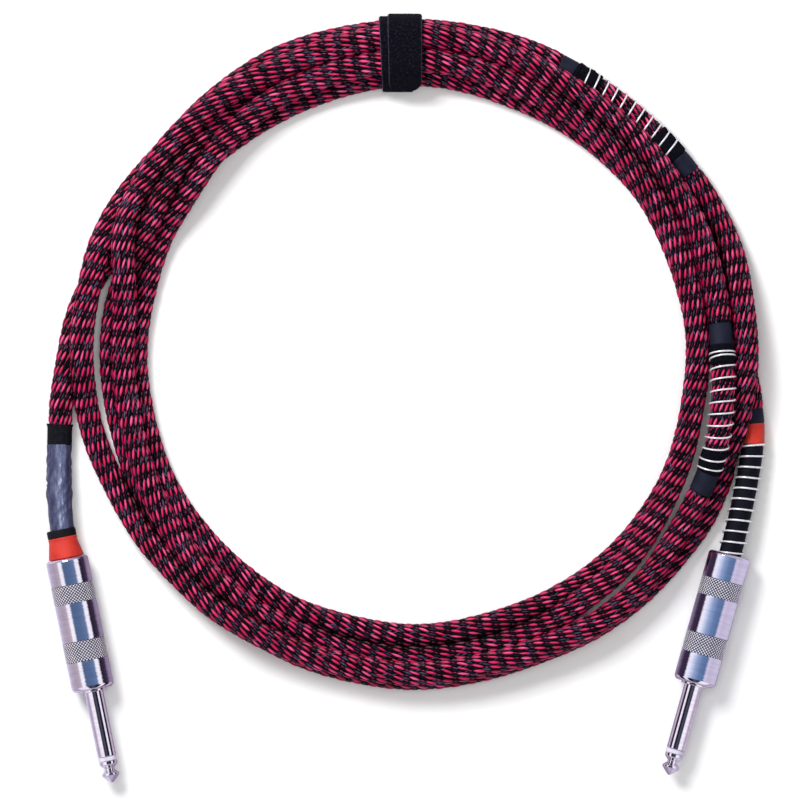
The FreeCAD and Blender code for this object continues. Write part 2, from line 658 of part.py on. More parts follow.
# ---- build and export ----------------------------------------------------------------
shapes = cable_layers()
shapes.update(plug("left", LEFT_REAR, LEFT_DIR))
shapes.update(plug("right", RIGHT_REAR, RIGHT_DIR))
shapes.update(lead_fittings())
# towards +X +Y
shapes.update(spring_set("upper",
                         collars=((1196.3, 1199.2), (1222.8, 1226.3)),
                         tapes=((1199.3, 1204.0), (1217.3, 1222.7)),
                         marks=evenly(1201.7, 1220.9, 11)))
# towards +X
shapes.update(spring_set("side",
                         collars=((893.9, 897.9), (921.4, 925.4)),
                         tapes=((898.0, 901.5), (917.2, 921.3)),
                         marks=[899.3] + evenly(899.95, 918.85, 10) + [920.5]))
shapes.update(strap())

for name, shape in shapes.items():
    shape.translate(ORIGIN_SHIFT)
    shape.exportStep("parts/%s.step" % name)
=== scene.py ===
"""Looks for an instrument cable: a coiled braided cable with two plugs, springs, sleeves and a strap.

The coil lies flat on the floor, z = 0 and +Z up. Both leads leave it on the -Y side and both plugs
point towards -Y, the left one at -X and the right one at +X. Lengths are in millimetres from
COIL_CENTRE; to_scene() turns them into the scene's metres. A place on the cable is its arc length s
from the left plug and an angle round it: 0 on the right of the travel, 90 degrees on top.
"""
import math

import bpy
import numpy as np
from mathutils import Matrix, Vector


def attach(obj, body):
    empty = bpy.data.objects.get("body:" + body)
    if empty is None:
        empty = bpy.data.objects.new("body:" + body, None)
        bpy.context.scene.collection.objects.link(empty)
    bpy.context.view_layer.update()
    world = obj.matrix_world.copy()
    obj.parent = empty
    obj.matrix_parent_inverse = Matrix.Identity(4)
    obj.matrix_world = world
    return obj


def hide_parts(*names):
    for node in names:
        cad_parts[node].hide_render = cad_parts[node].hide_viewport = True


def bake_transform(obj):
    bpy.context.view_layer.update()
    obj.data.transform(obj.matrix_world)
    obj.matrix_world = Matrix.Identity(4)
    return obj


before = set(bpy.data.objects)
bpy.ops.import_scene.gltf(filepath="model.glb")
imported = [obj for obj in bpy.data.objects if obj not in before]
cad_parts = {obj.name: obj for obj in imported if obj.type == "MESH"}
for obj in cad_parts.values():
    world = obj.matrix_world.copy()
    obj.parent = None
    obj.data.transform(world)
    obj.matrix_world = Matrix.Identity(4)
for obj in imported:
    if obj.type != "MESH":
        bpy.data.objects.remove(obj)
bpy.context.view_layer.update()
RNG = np.random.default_rng(7)
MM = 0.001
COIL_CENTRE = np.array([2.679, 13.911, 0.067])
VERTICAL = np.array([0.0, 0.0, 1.0])


def unit(vectors):
    """One vector, or each row of vectors, at length 1."""
    vectors = np.asarray(vectors, float)
    return vectors / np.linalg.norm(vectors, axis=-1, keepdims=True)


def to_scene(points):
    return (points + COIL_CENTRE) * MM


# ---------------------------------------------------------------- plugs' main sizes and places
HANDLE_RADIUS = 7.25
HANDLE_LENGTH = 45.7
CONTACT_RADIUS = 3.175
# rear end of each handle's axis, with the handle lying on the floor, and the way the plug points
PLUGS = {
    "left": (np.array([-118.77, -68.60, HANDLE_RADIUS]), unit([0.2, -0.98, 0])),
    "right": (np.array([107.37, -67.30, HANDLE_RADIUS]), unit([-0.268, -0.9634, 0])),
}

# ---------------------------------------------------------------- centreline
# x, y, z of the cable's axis between the plugs, from the left one to the right one
CENTRELINE = np.array([
    (-120.22, -59.45, 7.13),
    (-121.34, -44.62, 5.69), (-121.25, -29.78, 4.26), (-120.51, -14.90, 4.26),
    (-118.27, -0.22, 3.54), (-115.04, 14.29, 3.54), (-108.80, 27.61, 3.50), (-100.04, 39.66, 3.52),
    (-89.85, 50.52, 3.51), (-78.99, 60.69, 3.51), (-67.63, 70.31, 3.51), (-55.45, 78.90, 3.51),
    (-42.33, 86.13, 3.51), (-28.77, 91.47, 3.72), (-14.25, 95.06, 5.13), (0.52, 96.31, 5.58),
    (15.31, 94.59, 4.33), (30.09, 90.18, 3.54), (44.13, 84.22, 3.52), (56.47, 77.01, 3.50),
    (68.01, 67.71, 3.51), (78.12, 56.08, 3.51), (85.02, 43.30, 3.51), (90.44, 29.49, 3.51),
    (94.45, 14.69, 3.51), (96.02, -0.14, 3.51), (94.81, -14.95, 3.51), (91.83, -29.60, 3.51),
    (86.59, -43.39, 3.51), (78.70, -56.05, 3.51), (68.99, -67.30, 3.51), (57.49, -76.64, 3.51),
    (44.55, -84.05, 3.51), (30.86, -89.47, 3.51), (16.53, -93.28, 3.51), (1.74, -95.12, 3.51),
    (-13.10, -93.94, 3.51), (-27.68, -90.63, 3.51), (-41.48, -85.77, 3.51), (-54.58, -77.89, 3.51),
    (-66.03, -68.39, 3.51), (-75.86, -57.43, 3.51), (-84.30, -44.63, 3.51), (-89.96, -31.03, 3.51),
    (-93.54, -16.63, 3.51), (-95.29, -1.76, 3.52), (-94.21, 13.07, 3.50), (-91.04, 27.66, 3.51),
    (-86.16, 41.60, 4.34), (-78.61, 54.47, 8.76), (-70.34, 67.01, 10.65), (-60.59, 78.03, 10.36),
    (-48.60, 87.21, 9.97), (-35.43, 94.01, 10.25), (-21.27, 98.21, 11.05), (-6.44, 100.79, 12.27),
    (8.23, 100.49, 11.60), (23.02, 97.07, 9.87), (37.50, 91.45, 9.54), (50.78, 84.58, 9.81),
    (62.43, 76.39, 10.00), (73.39, 65.73, 10.26), (82.12, 53.33, 10.41), (87.77, 40.10, 10.56),
    (92.21, 25.76, 10.65), (95.14, 10.79, 10.67), (95.80, -4.08, 10.67), (94.19, -18.91, 10.67),
    (91.06, -33.45, 10.66), (85.66, -47.28, 10.60), (78.61, -60.52, 10.17), (69.72, -72.17, 9.42),
    (58.37, -81.84, 8.79), (46.00, -90.47, 6.73), (32.41, -96.49, 3.89), (18.02, -100.28, 3.54),
    (3.22, -102.26, 3.50), (-11.62, -101.44, 3.52), (-26.45, -98.34, 3.96), (-40.52, -93.97, 6.73),
    (-53.50, -87.61, 8.82), (-65.60, -78.45, 9.75), (-76.37, -68.27, 10.40),
    (-84.79, -55.96, 10.35), (-91.13, -42.52, 9.98), (-95.54, -28.28, 9.82),
    (-98.29, -13.67, 9.41), (-99.50, 1.15, 9.45), (-98.90, 15.99, 10.06), (-99.39, 30.92, 12.91),
    (-98.39, 45.38, 12.71), (-92.32, 59.08, 10.56), (-84.02, 71.46, 11.17), (-73.27, 82.36, 10.69),
    (-61.72, 90.97, 10.54), (-48.65, 97.35, 9.92), (-34.49, 103.05, 9.97), (-19.68, 107.30, 11.49),
    (-4.87, 109.51, 12.52), (9.83, 108.74, 11.78), (24.41, 105.43, 10.11), (38.20, 100.13, 11.28),
    (51.23, 92.75, 11.31), (63.63, 84.45, 11.08), (74.86, 74.66, 10.74), (84.48, 63.30, 10.52),
    (92.63, 50.83, 10.68), (98.81, 37.34, 10.57), (102.81, 23.03, 10.90), (104.78, 8.30, 12.79),
    (105.32, -6.57, 15.23), (104.44, -21.38, 15.94), (101.42, -35.91, 13.29),
    (95.62, -49.53, 10.11), (88.16, -62.58, 9.61), (79.82, -74.83, 10.33), (69.32, -85.29, 10.56),
    (56.85, -93.45, 10.62), (43.38, -99.02, 10.59), (28.99, -103.62, 10.54),
    (14.14, -106.83, 10.53), (-0.65, -107.96, 10.50), (-15.45, -106.54, 10.51),
    (-30.10, -103.29, 10.53), (-44.07, -98.84, 11.24), (-57.58, -92.17, 12.88),
    (-70.19, -83.96, 10.13), (-81.07, -73.74, 8.57), (-91.07, -62.68, 5.74),
    (-99.00, -50.08, 3.58), (-105.70, -36.77, 3.62), (-110.75, -22.82, 3.84),
    (-113.09, -8.25, 7.36), (-113.49, 6.62, 9.85), (-111.45, 21.36, 10.62), (-108.06, 35.86, 9.56),
    (-101.92, 49.35, 4.86), (-93.17, 61.30, 3.51), (-83.12, 72.34, 3.52), (-73.07, 83.31, 3.51),
    (-61.56, 92.87, 3.50), (-49.02, 100.80, 3.52), (-35.23, 106.16, 3.57), (-20.68, 109.40, 4.57),
    (-5.90, 111.07, 5.54), (8.96, 110.77, 4.94), (23.67, 108.45, 3.49), (38.01, 104.50, 4.25),
    (51.47, 98.33, 4.66), (64.14, 90.38, 4.62), (75.97, 81.20, 4.62), (86.61, 70.73, 4.67),
    (96.06, 59.26, 3.89), (103.67, 46.48, 3.60), (109.09, 32.68, 5.88), (111.65, 17.95, 8.95),
    (113.04, 3.14, 10.32), (112.03, -11.68, 10.97), (109.02, -26.24, 8.77), (104.69, -40.47, 4.38),
    (98.89, -53.98, 3.50), (90.29, -66.27, 3.51), (80.41, -77.34, 3.51), (68.98, -87.02, 3.51),
    (56.32, -94.70, 3.51), (42.75, -100.36, 3.51), (28.38, -105.19, 3.51), (13.57, -108.36, 3.51),
    (-1.14, -109.51, 3.51), (-16.00, -107.97, 3.51), (-30.65, -104.58, 3.51),
    (-44.27, -99.28, 3.51), (-56.88, -91.03, 3.51), (-68.06, -80.97, 3.51), (-77.78, -69.73, 3.51),
    (-86.35, -57.41, 3.51), (-93.63, -44.52, 3.51), (-98.40, -30.61, 3.51),
    (-102.00, -15.97, 3.51), (-103.50, -1.14, 3.51), (-102.50, 13.69, 3.50), (-98.77, 27.98, 4.63),
    (-92.89, 41.64, 9.42), (-86.39, 55.02, 10.61), (-78.34, 67.68, 8.83), (-68.30, 78.45, 5.55),
    (-56.51, 86.62, 3.61), (-43.03, 93.72, 3.54), (-28.36, 99.08, 3.68), (-13.45, 102.62, 5.21),
    (1.19, 103.87, 5.62), (15.92, 102.17, 4.16), (30.51, 98.57, 3.49), (44.13, 92.99, 3.52),
    (56.97, 85.34, 3.50), (68.96, 76.46, 3.51), (79.69, 66.15, 3.51), (89.49, 54.93, 3.51),
    (97.62, 42.52, 3.51), (103.25, 28.85, 3.50), (107.69, 14.68, 3.52), (111.60, 0.31, 3.56),
    (114.50, -14.27, 3.95), (115.80, -29.12, 4.55), (113.30, -43.83, 5.60),
    (109.72, -58.34, 7.00),
])
SPAN_STEPS = 40                     # steps between neighbouring knots
SAMPLE_STEP = 0.5                   # spacing of the even samples along the path
COIL_KNOT = 6                       # the coil starts and ends this many knots from the path's ends


def spline_tangents(points):
    """Unit tangents of the smooth cubic through the points."""
    steps = np.diff(points, axis=0)
    chord = np.linalg.norm(steps, axis=1)
    matrix = np.eye(len(points))
    target = np.zeros((len(points), 3))
    target[0], target[-1] = steps[0] / chord[0], steps[-1] / chord[-1]
    for i in range(1, len(points) - 1):
        before, after = chord[i - 1], chord[i]
        matrix[i, i - 1:i + 2] = after, 2 * (before + after), before
        target[i] = 3 * (after * steps[i - 1] / before + before * steps[i] / after)
    return unit(np.linalg.solve(matrix, target))


def plug_axis(side, *distances):
    """Points on a plug's axis, ahead of the handle's rear."""
    rear, direction = PLUGS[side]
    return [rear + direction * distance for distance in distances]


def fine_path():
    """The centreline in fine steps; inside the plugs it follows their axes."""
    knots = np.vstack([plug_axis("left", 20.5, 5.6), CENTRELINE, plug_axis("right", 5.6, 20.5)])
    start, end = -PLUGS["left"][1], PLUGS["right"][1]
    tangents = spline_tangents(knots)
    tangents[:2] = start
    tangents[-2:] = end
    knots = np.vstack([plug_axis("left", 30.0), knots, plug_axis("right", 30.0)])
    tangents = np.vstack([start, tangents, end])
    t = np.linspace(0, 1, SPAN_STEPS + 1)[:-1][:, None]
    spans = []
    for i in range(len(knots) - 1):
        chord = np.linalg.norm(knots[i + 1] - knots[i])
        spans.append((2 * t**3 - 3 * t**2 + 1) * knots[i]
                     + (t**3 - 2 * t**2 + t) * tangents[i] * chord
                     + (-2 * t**3 + 3 * t**2) * knots[i + 1]
                     + (t**3 - t**2) * tangents[i + 1] * chord)
    return np.vstack(spans + [knots[-1:]])


fine = fine_path()
fine_arc = np.r_[0, np.cumsum(np.linalg.norm(np.diff(fine, axis=0), axis=1))]
LENGTH = fine_arc[-1]
INTERVALS = int(LENGTH / SAMPLE_STEP)
ARC = np.linspace(0, LENGTH, INTERVALS + 1)
PATH = np.stack([np.interp(ARC, fine_arc, fine[:, k]) for k in range(3)], 1)
ALONG = unit(np.gradient(PATH, ARC, axis=0))
ACROSS = unit(np.stack([ALONG[:, 1], -ALONG[:, 0], np.zeros(len(ARC))], 1))
UP = np.cross(ACROSS, ALONG)
COIL_START = fine_arc[::SPAN_STEPS][COIL_KNOT]
COIL_END = fine_arc[::SPAN_STEPS][-COIL_KNOT]

# degrees travelled clockwise about the coil's centre: 0 at -X, 90 at +Y, 180 at +X
BEARING = -180 - np.degrees(np.unwrap(np.arctan2(PATH[:, 1], PATH[:, 0])))


def s_at_bearing(bearing):
    """Arc length where the coil passes a bearing, skipping the left lead."""
    passed = (ARC[1:] > 150) & (BEARING[:-1] <= bearing) & (BEARING[1:] >= bearing)
    k = np.where(passed)[0][0]
    part = (bearing - BEARING[k]) / (BEARING[k + 1] - BEARING[k])
    return ARC[k] + part * (ARC[k + 1] - ARC[k])


def s_at_y(y, region):
    return ARC[np.argmin(np.where(region, np.abs(PATH[:, 1] - y), np.inf))]


def s_left(y):
    """Arc length on the left lead nearest to y."""
    return s_at_y(y, ARC < 120)


def s_right(y):
    """Arc length on the right lead nearest to y."""
    return s_at_y(y, ARC > LENGTH - 140)


def at(s, field):
    """A field of vectors along the path, such as PATH or UP, at the arc lengths s."""
    s = np.asarray(s, float)
    return np.stack([np.interp(s, ARC, field[:, k]) for k in range(3)], -1)


# stop if the CAD's conductor no longer lies round this line
CONDUCTOR_RADIUS = 0.55
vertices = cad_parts["coil_centre_conductor"].data.vertices
conductor = np.array([v.co for v in vertices][:40 * 29:29], float) / MM - COIL_CENTRE
axis_gaps = [np.linalg.norm(PATH - point, axis=1).min() - CONDUCTOR_RADIUS for point in conductor]
if min(np.abs(axis_gaps)) > 0.1:
    raise RuntimeError("the centreline no longer matches the CAD")

# the soft braid settles off the CAD line on the +X side: bearing, shift inward, reach each way
SHIFTS = ((915.2, 0.40, 24.0), (164.8, -0.80, 36.0), (526.0, -0.72, 27.0), (890.0, 0.70, 26.0))
inward = -PATH * [1, 1, 0] / np.linalg.norm(PATH[:, :2], axis=1)[:, None]
for bearing, shift, reach in SHIFTS:
    PATH = PATH + inward * (shift * np.exp(-((ARC - s_at_bearing(bearing)) / reach) ** 4))[:, None]
# and towards -X by the right lead's bands
PATH[:, 0] -= 0.70 * np.exp(-((ARC - s_right(-34.0)) / 14.0) ** 2)


# ---------------------------------------------------------------- hard sleeves on the cable
def coil_spring(first_end, last_end, turns):
    """Arc lengths of a spring's collars, tapes and turns, from bearings.

    first_end: collar start, seam, tape end; last_end: tape start, seam, collar end;
    turns: where the wire crosses the top.
    """
    collar_a, seam_a, tape_a = map(s_at_bearing, first_end)
    tape_b, seam_b, collar_b = map(s_at_bearing, last_end)
    return {
        "collars": ((collar_a, seam_a), (seam_b, collar_b)),
        "tapes": ((seam_a, tape_a), (tape_b, seam_b)),
        "turns": np.array([s_at_bearing(turn) for turn in turns]),
    }


# "upper" lies at +X +Y, "side" at +X
SPRINGS = {
    "upper": coil_spring((1196.3, 1199.25, 1204.0), (1217.3, 1222.75, 1226.3),
                         np.linspace(1201.7, 1220.9, 11)),
    "side": coil_spring((893.9, 897.95, 901.5), (917.2, 921.35, 925.4),
                        np.r_[899.3, np.linspace(899.95, 918.85, 10), 920.5]),
}
# start and end arc lengths
SHRINK = (s_left(-60.0), s_left(-29.9))
WRAP = (s_left(-29.9), s_left(-22.9))
TUBE = (s_right(-30.2), s_right(-68.6))
ORANGE = (s_right(-22.8), s_right(-29.7))
BLACK = (s_right(-18.0), s_right(-22.8))
RIGHT_TURNS = np.linspace(s_right(-30.3), s_right(-66.6), 11)

# span, most the braid may fill, radius that neighbours must clear (0 for soft braid)
ZONES = [
    (SHRINK, 3.55, 4.2), (WRAP, 3.6, 4.3), (TUBE, 3.5, 4.7), (ORANGE, 3.52, 4.0),
    (BLACK, 3.52, 3.95), ((0, s_left(-62.0)), 3.5, 0), ((s_right(-60.0), LENGTH), 3.5, 0),
]
for spring in SPRINGS.values():
    ZONES.append(((spring["turns"][0] - 1.0, spring["turns"][-1] + 1.0), 3.86, 4.62))
    ZONES += [(span, 3.50, 4.0) for span in spring["tapes"]]
    ZONES += [(span, 3.52, 4.02) for span in spring["collars"]]
FILL_LIMIT = np.full(len(ARC), 9.0)
HARD_RADIUS = np.zeros(len(ARC))
for (start, end), fill, hard in ZONES:
    inside = (ARC >= start) & (ARC <= end)
    FILL_LIMIT[inside] = np.minimum(FILL_LIMIT[inside], fill)
    HARD_RADIUS[inside] = np.maximum(HARD_RADIUS[inside], hard)

# ---------------------------------------------------------------- the braid's squeezed section
SECTION_COLUMNS = 56
SECTION_STRIDE = 2                                 # path samples from one section to the next
HALF_WIDTH, HALF_HEIGHT = 4.05, 3.62               # of the free braid
MIN_RADIUS = 3.0


def angles(count):
    return np.arange(count) * 2 * math.pi / count


def blur(values, axis, closed=True):
    """Average of each value (2 parts) and its neighbours (1 part each); open ends stay."""
    result = (np.roll(values, 1, axis) + 2 * values + np.roll(values, -1, axis)) / 4
    if not closed:
        result[[0, -1]] = values[[0, -1]]
    return result


def squeezed_sections():
    """Braid radius by section and angle, and how far neighbours press it in (0 to 1), spread round
    the section as a mask of painted shade between strands.
    """
    centre, along, across, up = (field[::SECTION_STRIDE] for field in (PATH, ALONG, ACROSS, UP))
    hard = HARD_RADIUS[::SECTION_STRIDE]
    fill = FILL_LIMIT[::SECTION_STRIDE][:, None]
    cos, sin = np.cos(angles(SECTION_COLUMNS)), np.sin(angles(SECTION_COLUMNS))
    free = 1 / np.sqrt((cos / HALF_WIDTH) ** 2 + (sin / HALF_HEIGHT) ** 2)
    section = np.tile(free, (len(centre), 1))
    pinch = np.zeros_like(section)
    index = np.arange(len(centre))
    for i in index:
        offset = centre - centre[i]
        ahead = offset @ along[i]
        near = (np.abs(index - i) > 25) & (np.abs(ahead) < 1.2)
        near &= np.linalg.norm(offset, axis=1) < 12
        if not near.any():
            continue
        offset = offset[near] - ahead[near][:, None] * along[i]
        distance = np.linalg.norm(offset, axis=1)
        toward = offset / distance[:, None]
        soft_limit = np.minimum(distance - 3.2, 9) if hard[i] > 0 else distance * 0.5 - 0.02
        limit = np.where(hard[near] > 0, distance - hard[near] - 0.06, soft_limit)[:, None]
        facing = (toward @ across[i])[:, None] * cos + (toward @ up[i])[:, None] * sin
        pressed = np.where(facing > 0.12, limit / np.maximum(facing, 0.12), 99.0).min(0)
        section[i] = np.minimum(section[i], pressed)
        pinch[i] = np.clip((free - pressed + 0.25) / 0.5, 0, 1)
    # the floor
    to_floor = (centre[:, 2:] - 0.04) / np.maximum(-sin * up[:, 2:], 0.05)
    section = np.minimum(section, np.where(sin < -0.05, to_floor, 99.0))
    section = np.maximum(np.minimum(section, fill), MIN_RADIUS)

    # painted shade: the press, spread round the section, darkens the crevices between strands
    pinch_shade = pinch.copy()
    for k in range(1, 8):
        beside = np.maximum(np.roll(pinch, k, 1), np.roll(pinch, -k, 1))
        pinch_shade = np.maximum(pinch_shade, beside * (1 - 0.13 * k))
    for _ in range(2):
        section = blur(section, 1)
    for _ in range(3):
        section = np.minimum(blur(section, 0, closed=False), fill)
    return section, blur(pinch_shade, 1)


SECTION, PINCH_SHADE = squeezed_sections()


def braid_radius(s, angle, field=SECTION):
    """The braid's outer radius, or its mask of painted shade between strands, at s and angle,
    bilinear.
    """
    row = np.clip(s / (SECTION_STRIDE * LENGTH / INTERVALS), 0, len(field) - 1.001)
    i = row.astype(int)
    row = row - i
    column = (angle / (2 * math.pi) * SECTION_COLUMNS) % SECTION_COLUMNS
    j = column.astype(int) % SECTION_COLUMNS
    column = column - np.floor(column)
    next_j = (j + 1) % SECTION_COLUMNS
    next_i = np.minimum(i + 1, len(field) - 1)
    return (field[i, j] * (1 - row) * (1 - column) + field[next_i, j] * row * (1 - column)
            + field[i, next_j] * (1 - row) * column + field[next_i, next_j] * row * column)


def round_cable(s, angle, radius):
    """Points at a radius from the cable's axis, mm."""
    return (at(s, PATH) + at(s, ACROSS) * (np.cos(angle) * radius)[..., None]
            + at(s, UP) * (np.sin(angle) * radius)[..., None])


# ---------------------------------------------------------------- meshes: (verts, faces, uv)
MATERIALS = {}


def make_object(name, mesh, material, attributes=None, smooth=True, sharp=None):
    """An object from a mesh whose verts are in scene metres; sharp is an edge angle in radians."""
    verts, faces, uv = mesh
    data = bpy.data.meshes.new(name)
    verts = np.ascontiguousarray(verts, np.float32).reshape(-1, 3)
    faces = np.ascontiguousarray(faces, np.int32)
    data.vertices.add(len(verts))
    data.vertices.foreach_set("co", verts.ravel())
    data.loops.add(faces.size)
    data.loops.foreach_set("vertex_index", faces.ravel())
    data.polygons.add(len(faces))
    starts = np.arange(0, faces.size, faces.shape[1], dtype=np.int32)
    data.polygons.foreach_set("loop_start", starts)
    data.polygons.foreach_set("use_smooth", np.full(len(faces), smooth))
    if uv is not None:
        corners = np.asarray(uv, np.float32)[faces.ravel()]
        layer = data.uv_layers.new(name="UVMap")
        layer.data.foreach_set("uv", np.ascontiguousarray(corners).ravel())
    for key, values in (attributes or {}).items():
        attribute = data.attributes.new(key, "FLOAT", "POINT")
        attribute.data.foreach_set("value", np.ascontiguousarray(values, np.float32))
    data.update(calc_edges=True)
    data.validate()
    if sharp:
        data.set_sharp_from_angle(angle=sharp)
    made = bpy.data.objects.new(name, data)
    bpy.context.scene.collection.objects.link(made)
    data.materials.append(MATERIALS[material])
    return made


def grid_faces(rows, columns, wrap=False, flip=False):
    row = np.arange(rows - 1)[:, None]
    column = np.arange(columns if wrap else columns - 1)[None, :]
    after = (column + 1) % columns
    low, high = row * columns, (row + 1) * columns
    faces = np.stack([low + column, low + after, high + after, high + column], -1).reshape(-1, 4)
    return faces[:, ::-1] if flip else faces


def join(meshes):
    """Several meshes as one."""
    starts = np.cumsum([0] + [len(verts) for verts, _, _ in meshes])
    return (np.vstack([verts for verts, _, _ in meshes]),
            np.vstack([faces + start for (_, faces, _), start in zip(meshes, starts)]),
            np.vstack([uv for _, _, uv in meshes]))


def path_tube(span, outer, inner, columns, step, lip):
    """A closed tube round the cable with slightly rounded ends.

    outer: a radius or a function (s, angle); inner: a radius; lip: how far the end rings draw in.
    """
    start, end = span
    rows = int((end - start) / step) + 1
    s, angle = np.meshgrid(np.linspace(start, end, rows), angles(columns), indexing="ij")
    radius = outer(s, angle) if callable(outer) else outer
    edge = np.minimum(s - start, end - s)
    radius = radius - lip * np.clip(1 - edge / (lip * 2.2), 0, 1) ** 2
    ends = round_cable(s[[0, -1]], angle[[0, -1]], np.full((2, columns), inner))
    shell = np.concatenate([ends[:1], round_cable(s, angle, radius), ends[1:]])
    uv = np.stack([angle / (2 * math.pi), (s - start) / 10], -1)
    shell_uv = np.concatenate([uv[:1], uv, uv[-1:]])
    # the inner wall has as many rows, so that it follows the bend
    wall = round_cable(s[::-1], angle, np.full(s.shape, inner))
    verts, faces, uv = join([
        (shell.reshape(-1, 3), grid_faces(rows + 2, columns, wrap=True), shell_uv.reshape(-1, 2)),
        (wall.reshape(-1, 3), grid_faces(rows, columns, wrap=True), uv.reshape(-1, 2)),
    ])
    verts = to_scene(verts)
    verts[:, 2] = np.maximum(verts[:, 2], 2e-5)    # soft sleeves flatten on the floor
    return verts, faces[:, ::-1], uv


def lathe(profile, columns, shape=None):
    """Profile rows (s, radius) turned about the axis; shape(s, angle, radius) may change the radius.

    The verts are (s, across, up) in mm.
    """
    profile = np.asarray(profile, float)
    s, angle = np.meshgrid(profile[:, 0], angles(columns), indexing="ij")
    radius = np.repeat(profile[:, 1:], columns, 1)
    if shape:
        radius = shape(s, angle, radius)
    verts = np.stack([s, radius * np.cos(angle), radius * np.sin(angle)], -1).reshape(-1, 3)
    uv = np.stack([angle / (2 * math.pi), s / 10], -1).reshape(-1, 2)
    return verts, grid_faces(len(profile), columns, wrap=True), uv


def on_plug(mesh, side):
    """A turned mesh set on a plug's axis, s from the handle's rear."""
    verts, faces, uv = mesh
    rear, direction = PLUGS[side]
    across = np.cross(direction, VERTICAL)
    verts = rear + verts[:, :1] * direction + verts[:, 1:2] * across + verts[:, 2:] * VERTICAL
    return to_scene(verts), faces, uv


def rounded(profile, radius, steps):
    """The profile with its corners rounded."""
    points = np.asarray(profile, float)
    result = [points[0]]
    for before, corner, after in zip(points[:-2], points[1:-1], points[2:]):
        back, on = before - corner, after - corner
        back_length, on_length = np.linalg.norm(back), np.linalg.norm(on)
        cut = min(radius, back_length * 0.45, on_length * 0.45)
        start, end = corner + back / back_length * cut, corner + on / on_length * cut
        for t in np.linspace(0, 1, steps + 1):
            result.append((1 - t) ** 2 * start + 2 * t * (1 - t) * corner + t * t * end)
    result.append(points[-1])
    return np.array(result)


# ---------------------------------------------------------------- shader helpers
def srgb(colour):
    """An 8-bit sRGB colour as linear RGBA."""
    parts = [part / 255 for part in colour]
    return (*[c / 12.92 if c <= 0.04045 else ((c + 0.055) / 1.055) ** 2.4 for c in parts], 1)


class Shader:
    """Short ways to add nodes to a tree; each returns the new node's output socket."""

    def __init__(self, tree):
        self.tree = tree

    def node(self, kind, inputs, output=0, **settings):
        """inputs: by name or index, a socket to link or a plain value."""
        node = self.tree.nodes.new("ShaderNode" + kind)
        for key, value in settings.items():
            setattr(node, key, value)
        for key, value in inputs.items():
            if isinstance(value, bpy.types.NodeSocket):
                self.tree.links.new(value, node.inputs[key])
            else:
                node.inputs[key].default_value = value
        return node.outputs[output]

    def surface(self, kind, inputs):
        """The closing shader, linked to a material output."""
        shader = self.node(kind, inputs)
        output = self.tree.nodes.new("ShaderNodeOutputMaterial")
        self.tree.links.new(shader, output.inputs[0])

    def coords(self, kind, scale=(1, 1, 1)):
        source = self.node("TexCoord", {}, kind)
        return self.node("Mapping", {0: source, "Scale": scale})

    def noise(self, vector, scale, detail=3, roughness=0.6):
        inputs = {"Vector": vector, "Scale": scale, "Detail": detail, "Roughness": roughness}
        return self.node("TexNoise", inputs, "Fac")

    def attribute(self, name):
        return self.node("Attribute", {}, "Fac", attribute_name=name)

    def math(self, operation, *values):
        return self.node("Math", dict(enumerate(values)), operation=operation)

    def mix(self, factor, first, second):
        inputs = {"Factor": factor, 6: first, 7: second}
        return self.node("Mix", inputs, 2, data_type="RGBA")

    def remap(self, value, to_min, to_max, from_min=0.3, from_max=0.7):
        return self.node("MapRange", {"Value": value, "From Min": from_min, "From Max": from_max,
                                      "To Min": to_min, "To Max": to_max})

    def ramp(self, factor, stops):
        """stops: (position, 8-bit sRGB colour)."""
        colour = self.node("ValToRGB", {0: factor})
        elements = colour.node.color_ramp.elements
        while len(elements) < len(stops):
            elements.new(0.5)
        for i, (position, value) in enumerate(stops):
            elements[i].position = position
            elements[i].color = srgb(value)
        return colour

    def bump(self, height, strength, distance):
        return self.node("Bump", {"Strength": strength, "Distance": distance, "Height": height})


def new_material(name):
    material = bpy.data.materials.new(name)
    material.use_nodes = True
    material.node_tree.nodes.clear()
    MATERIALS[name] = material
    return Shader(material.node_tree)


# ---------------------------------------------------------------- materials
# name: dark and light colour, roughness range, metallic, noise scale, bump strength, specular
PLAIN = {
    "yarn_shadow": ((1, 1, 2), (5, 4, 8), (0.8, 0.95), 0.0, 900, 0.25, 0.05),
    "jacket_rubber": ((18, 18, 20), (34, 34, 38), (0.5, 0.7), 0.0, 300, 0.25, 0.5),
    "shield_wire": ((150, 96, 60), (205, 150, 105), (0.25, 0.45), 0.9, 500, 0.5, 0.5),
    "core_insulation": ((205, 202, 190), (232, 230, 220), (0.4, 0.55), 0.0, 250, 0.25, 0.5),
    "copper_strand": ((170, 92, 56), (216, 140, 96), (0.2, 0.4), 1.0, 700, 0.5, 0.5),
    "liner_plastic": ((196, 198, 204), (226, 228, 232), (0.25, 0.4), 0.0, 200, 0.25, 0.5),
    "fibre_washer": ((92, 44, 28), (130, 66, 42), (0.6, 0.8), 0.0, 600, 0.25, 0.5),
    "tinned_lug": ((176, 170, 150), (214, 210, 196), (0.25, 0.45), 1.0, 400, 0.25, 0.5),
    "insulator_ring": ((196, 190, 214), (232, 228, 242), (0.2, 0.35), 0.0, 300, 0.05, 0.5),
    "orange_sleeve": ((182, 38, 30), (206, 56, 44), (0.5, 0.68), 0.0, 220, 0.15, 0.3),
    "black_tube": ((5, 5, 12), (18, 18, 30), (0.6, 0.8), 0.0, 260, 0.3, 0.12),
    "felt_tape": ((3, 3, 6), (20, 20, 30), (0.85, 1.0), 0.0, 1500, 0.9, 0.05),
    "navy_collar": ((14, 16, 30), (28, 31, 50), (0.6, 0.75), 0.0, 160, 0.2, 0.2),
    "black_ring": ((4, 4, 8), (18, 18, 24), (0.6, 0.8), 0.0, 500, 0.25, 0.2),
    "wound_thread": ((5, 5, 8), (24, 25, 32), (0.75, 0.95), 0.0, 900, 0.6, 0.15),
    "spring_wire": ((232, 230, 238), (255, 255, 255), (0.22, 0.34), 0.35, 500, 0.05, 0.5),
}


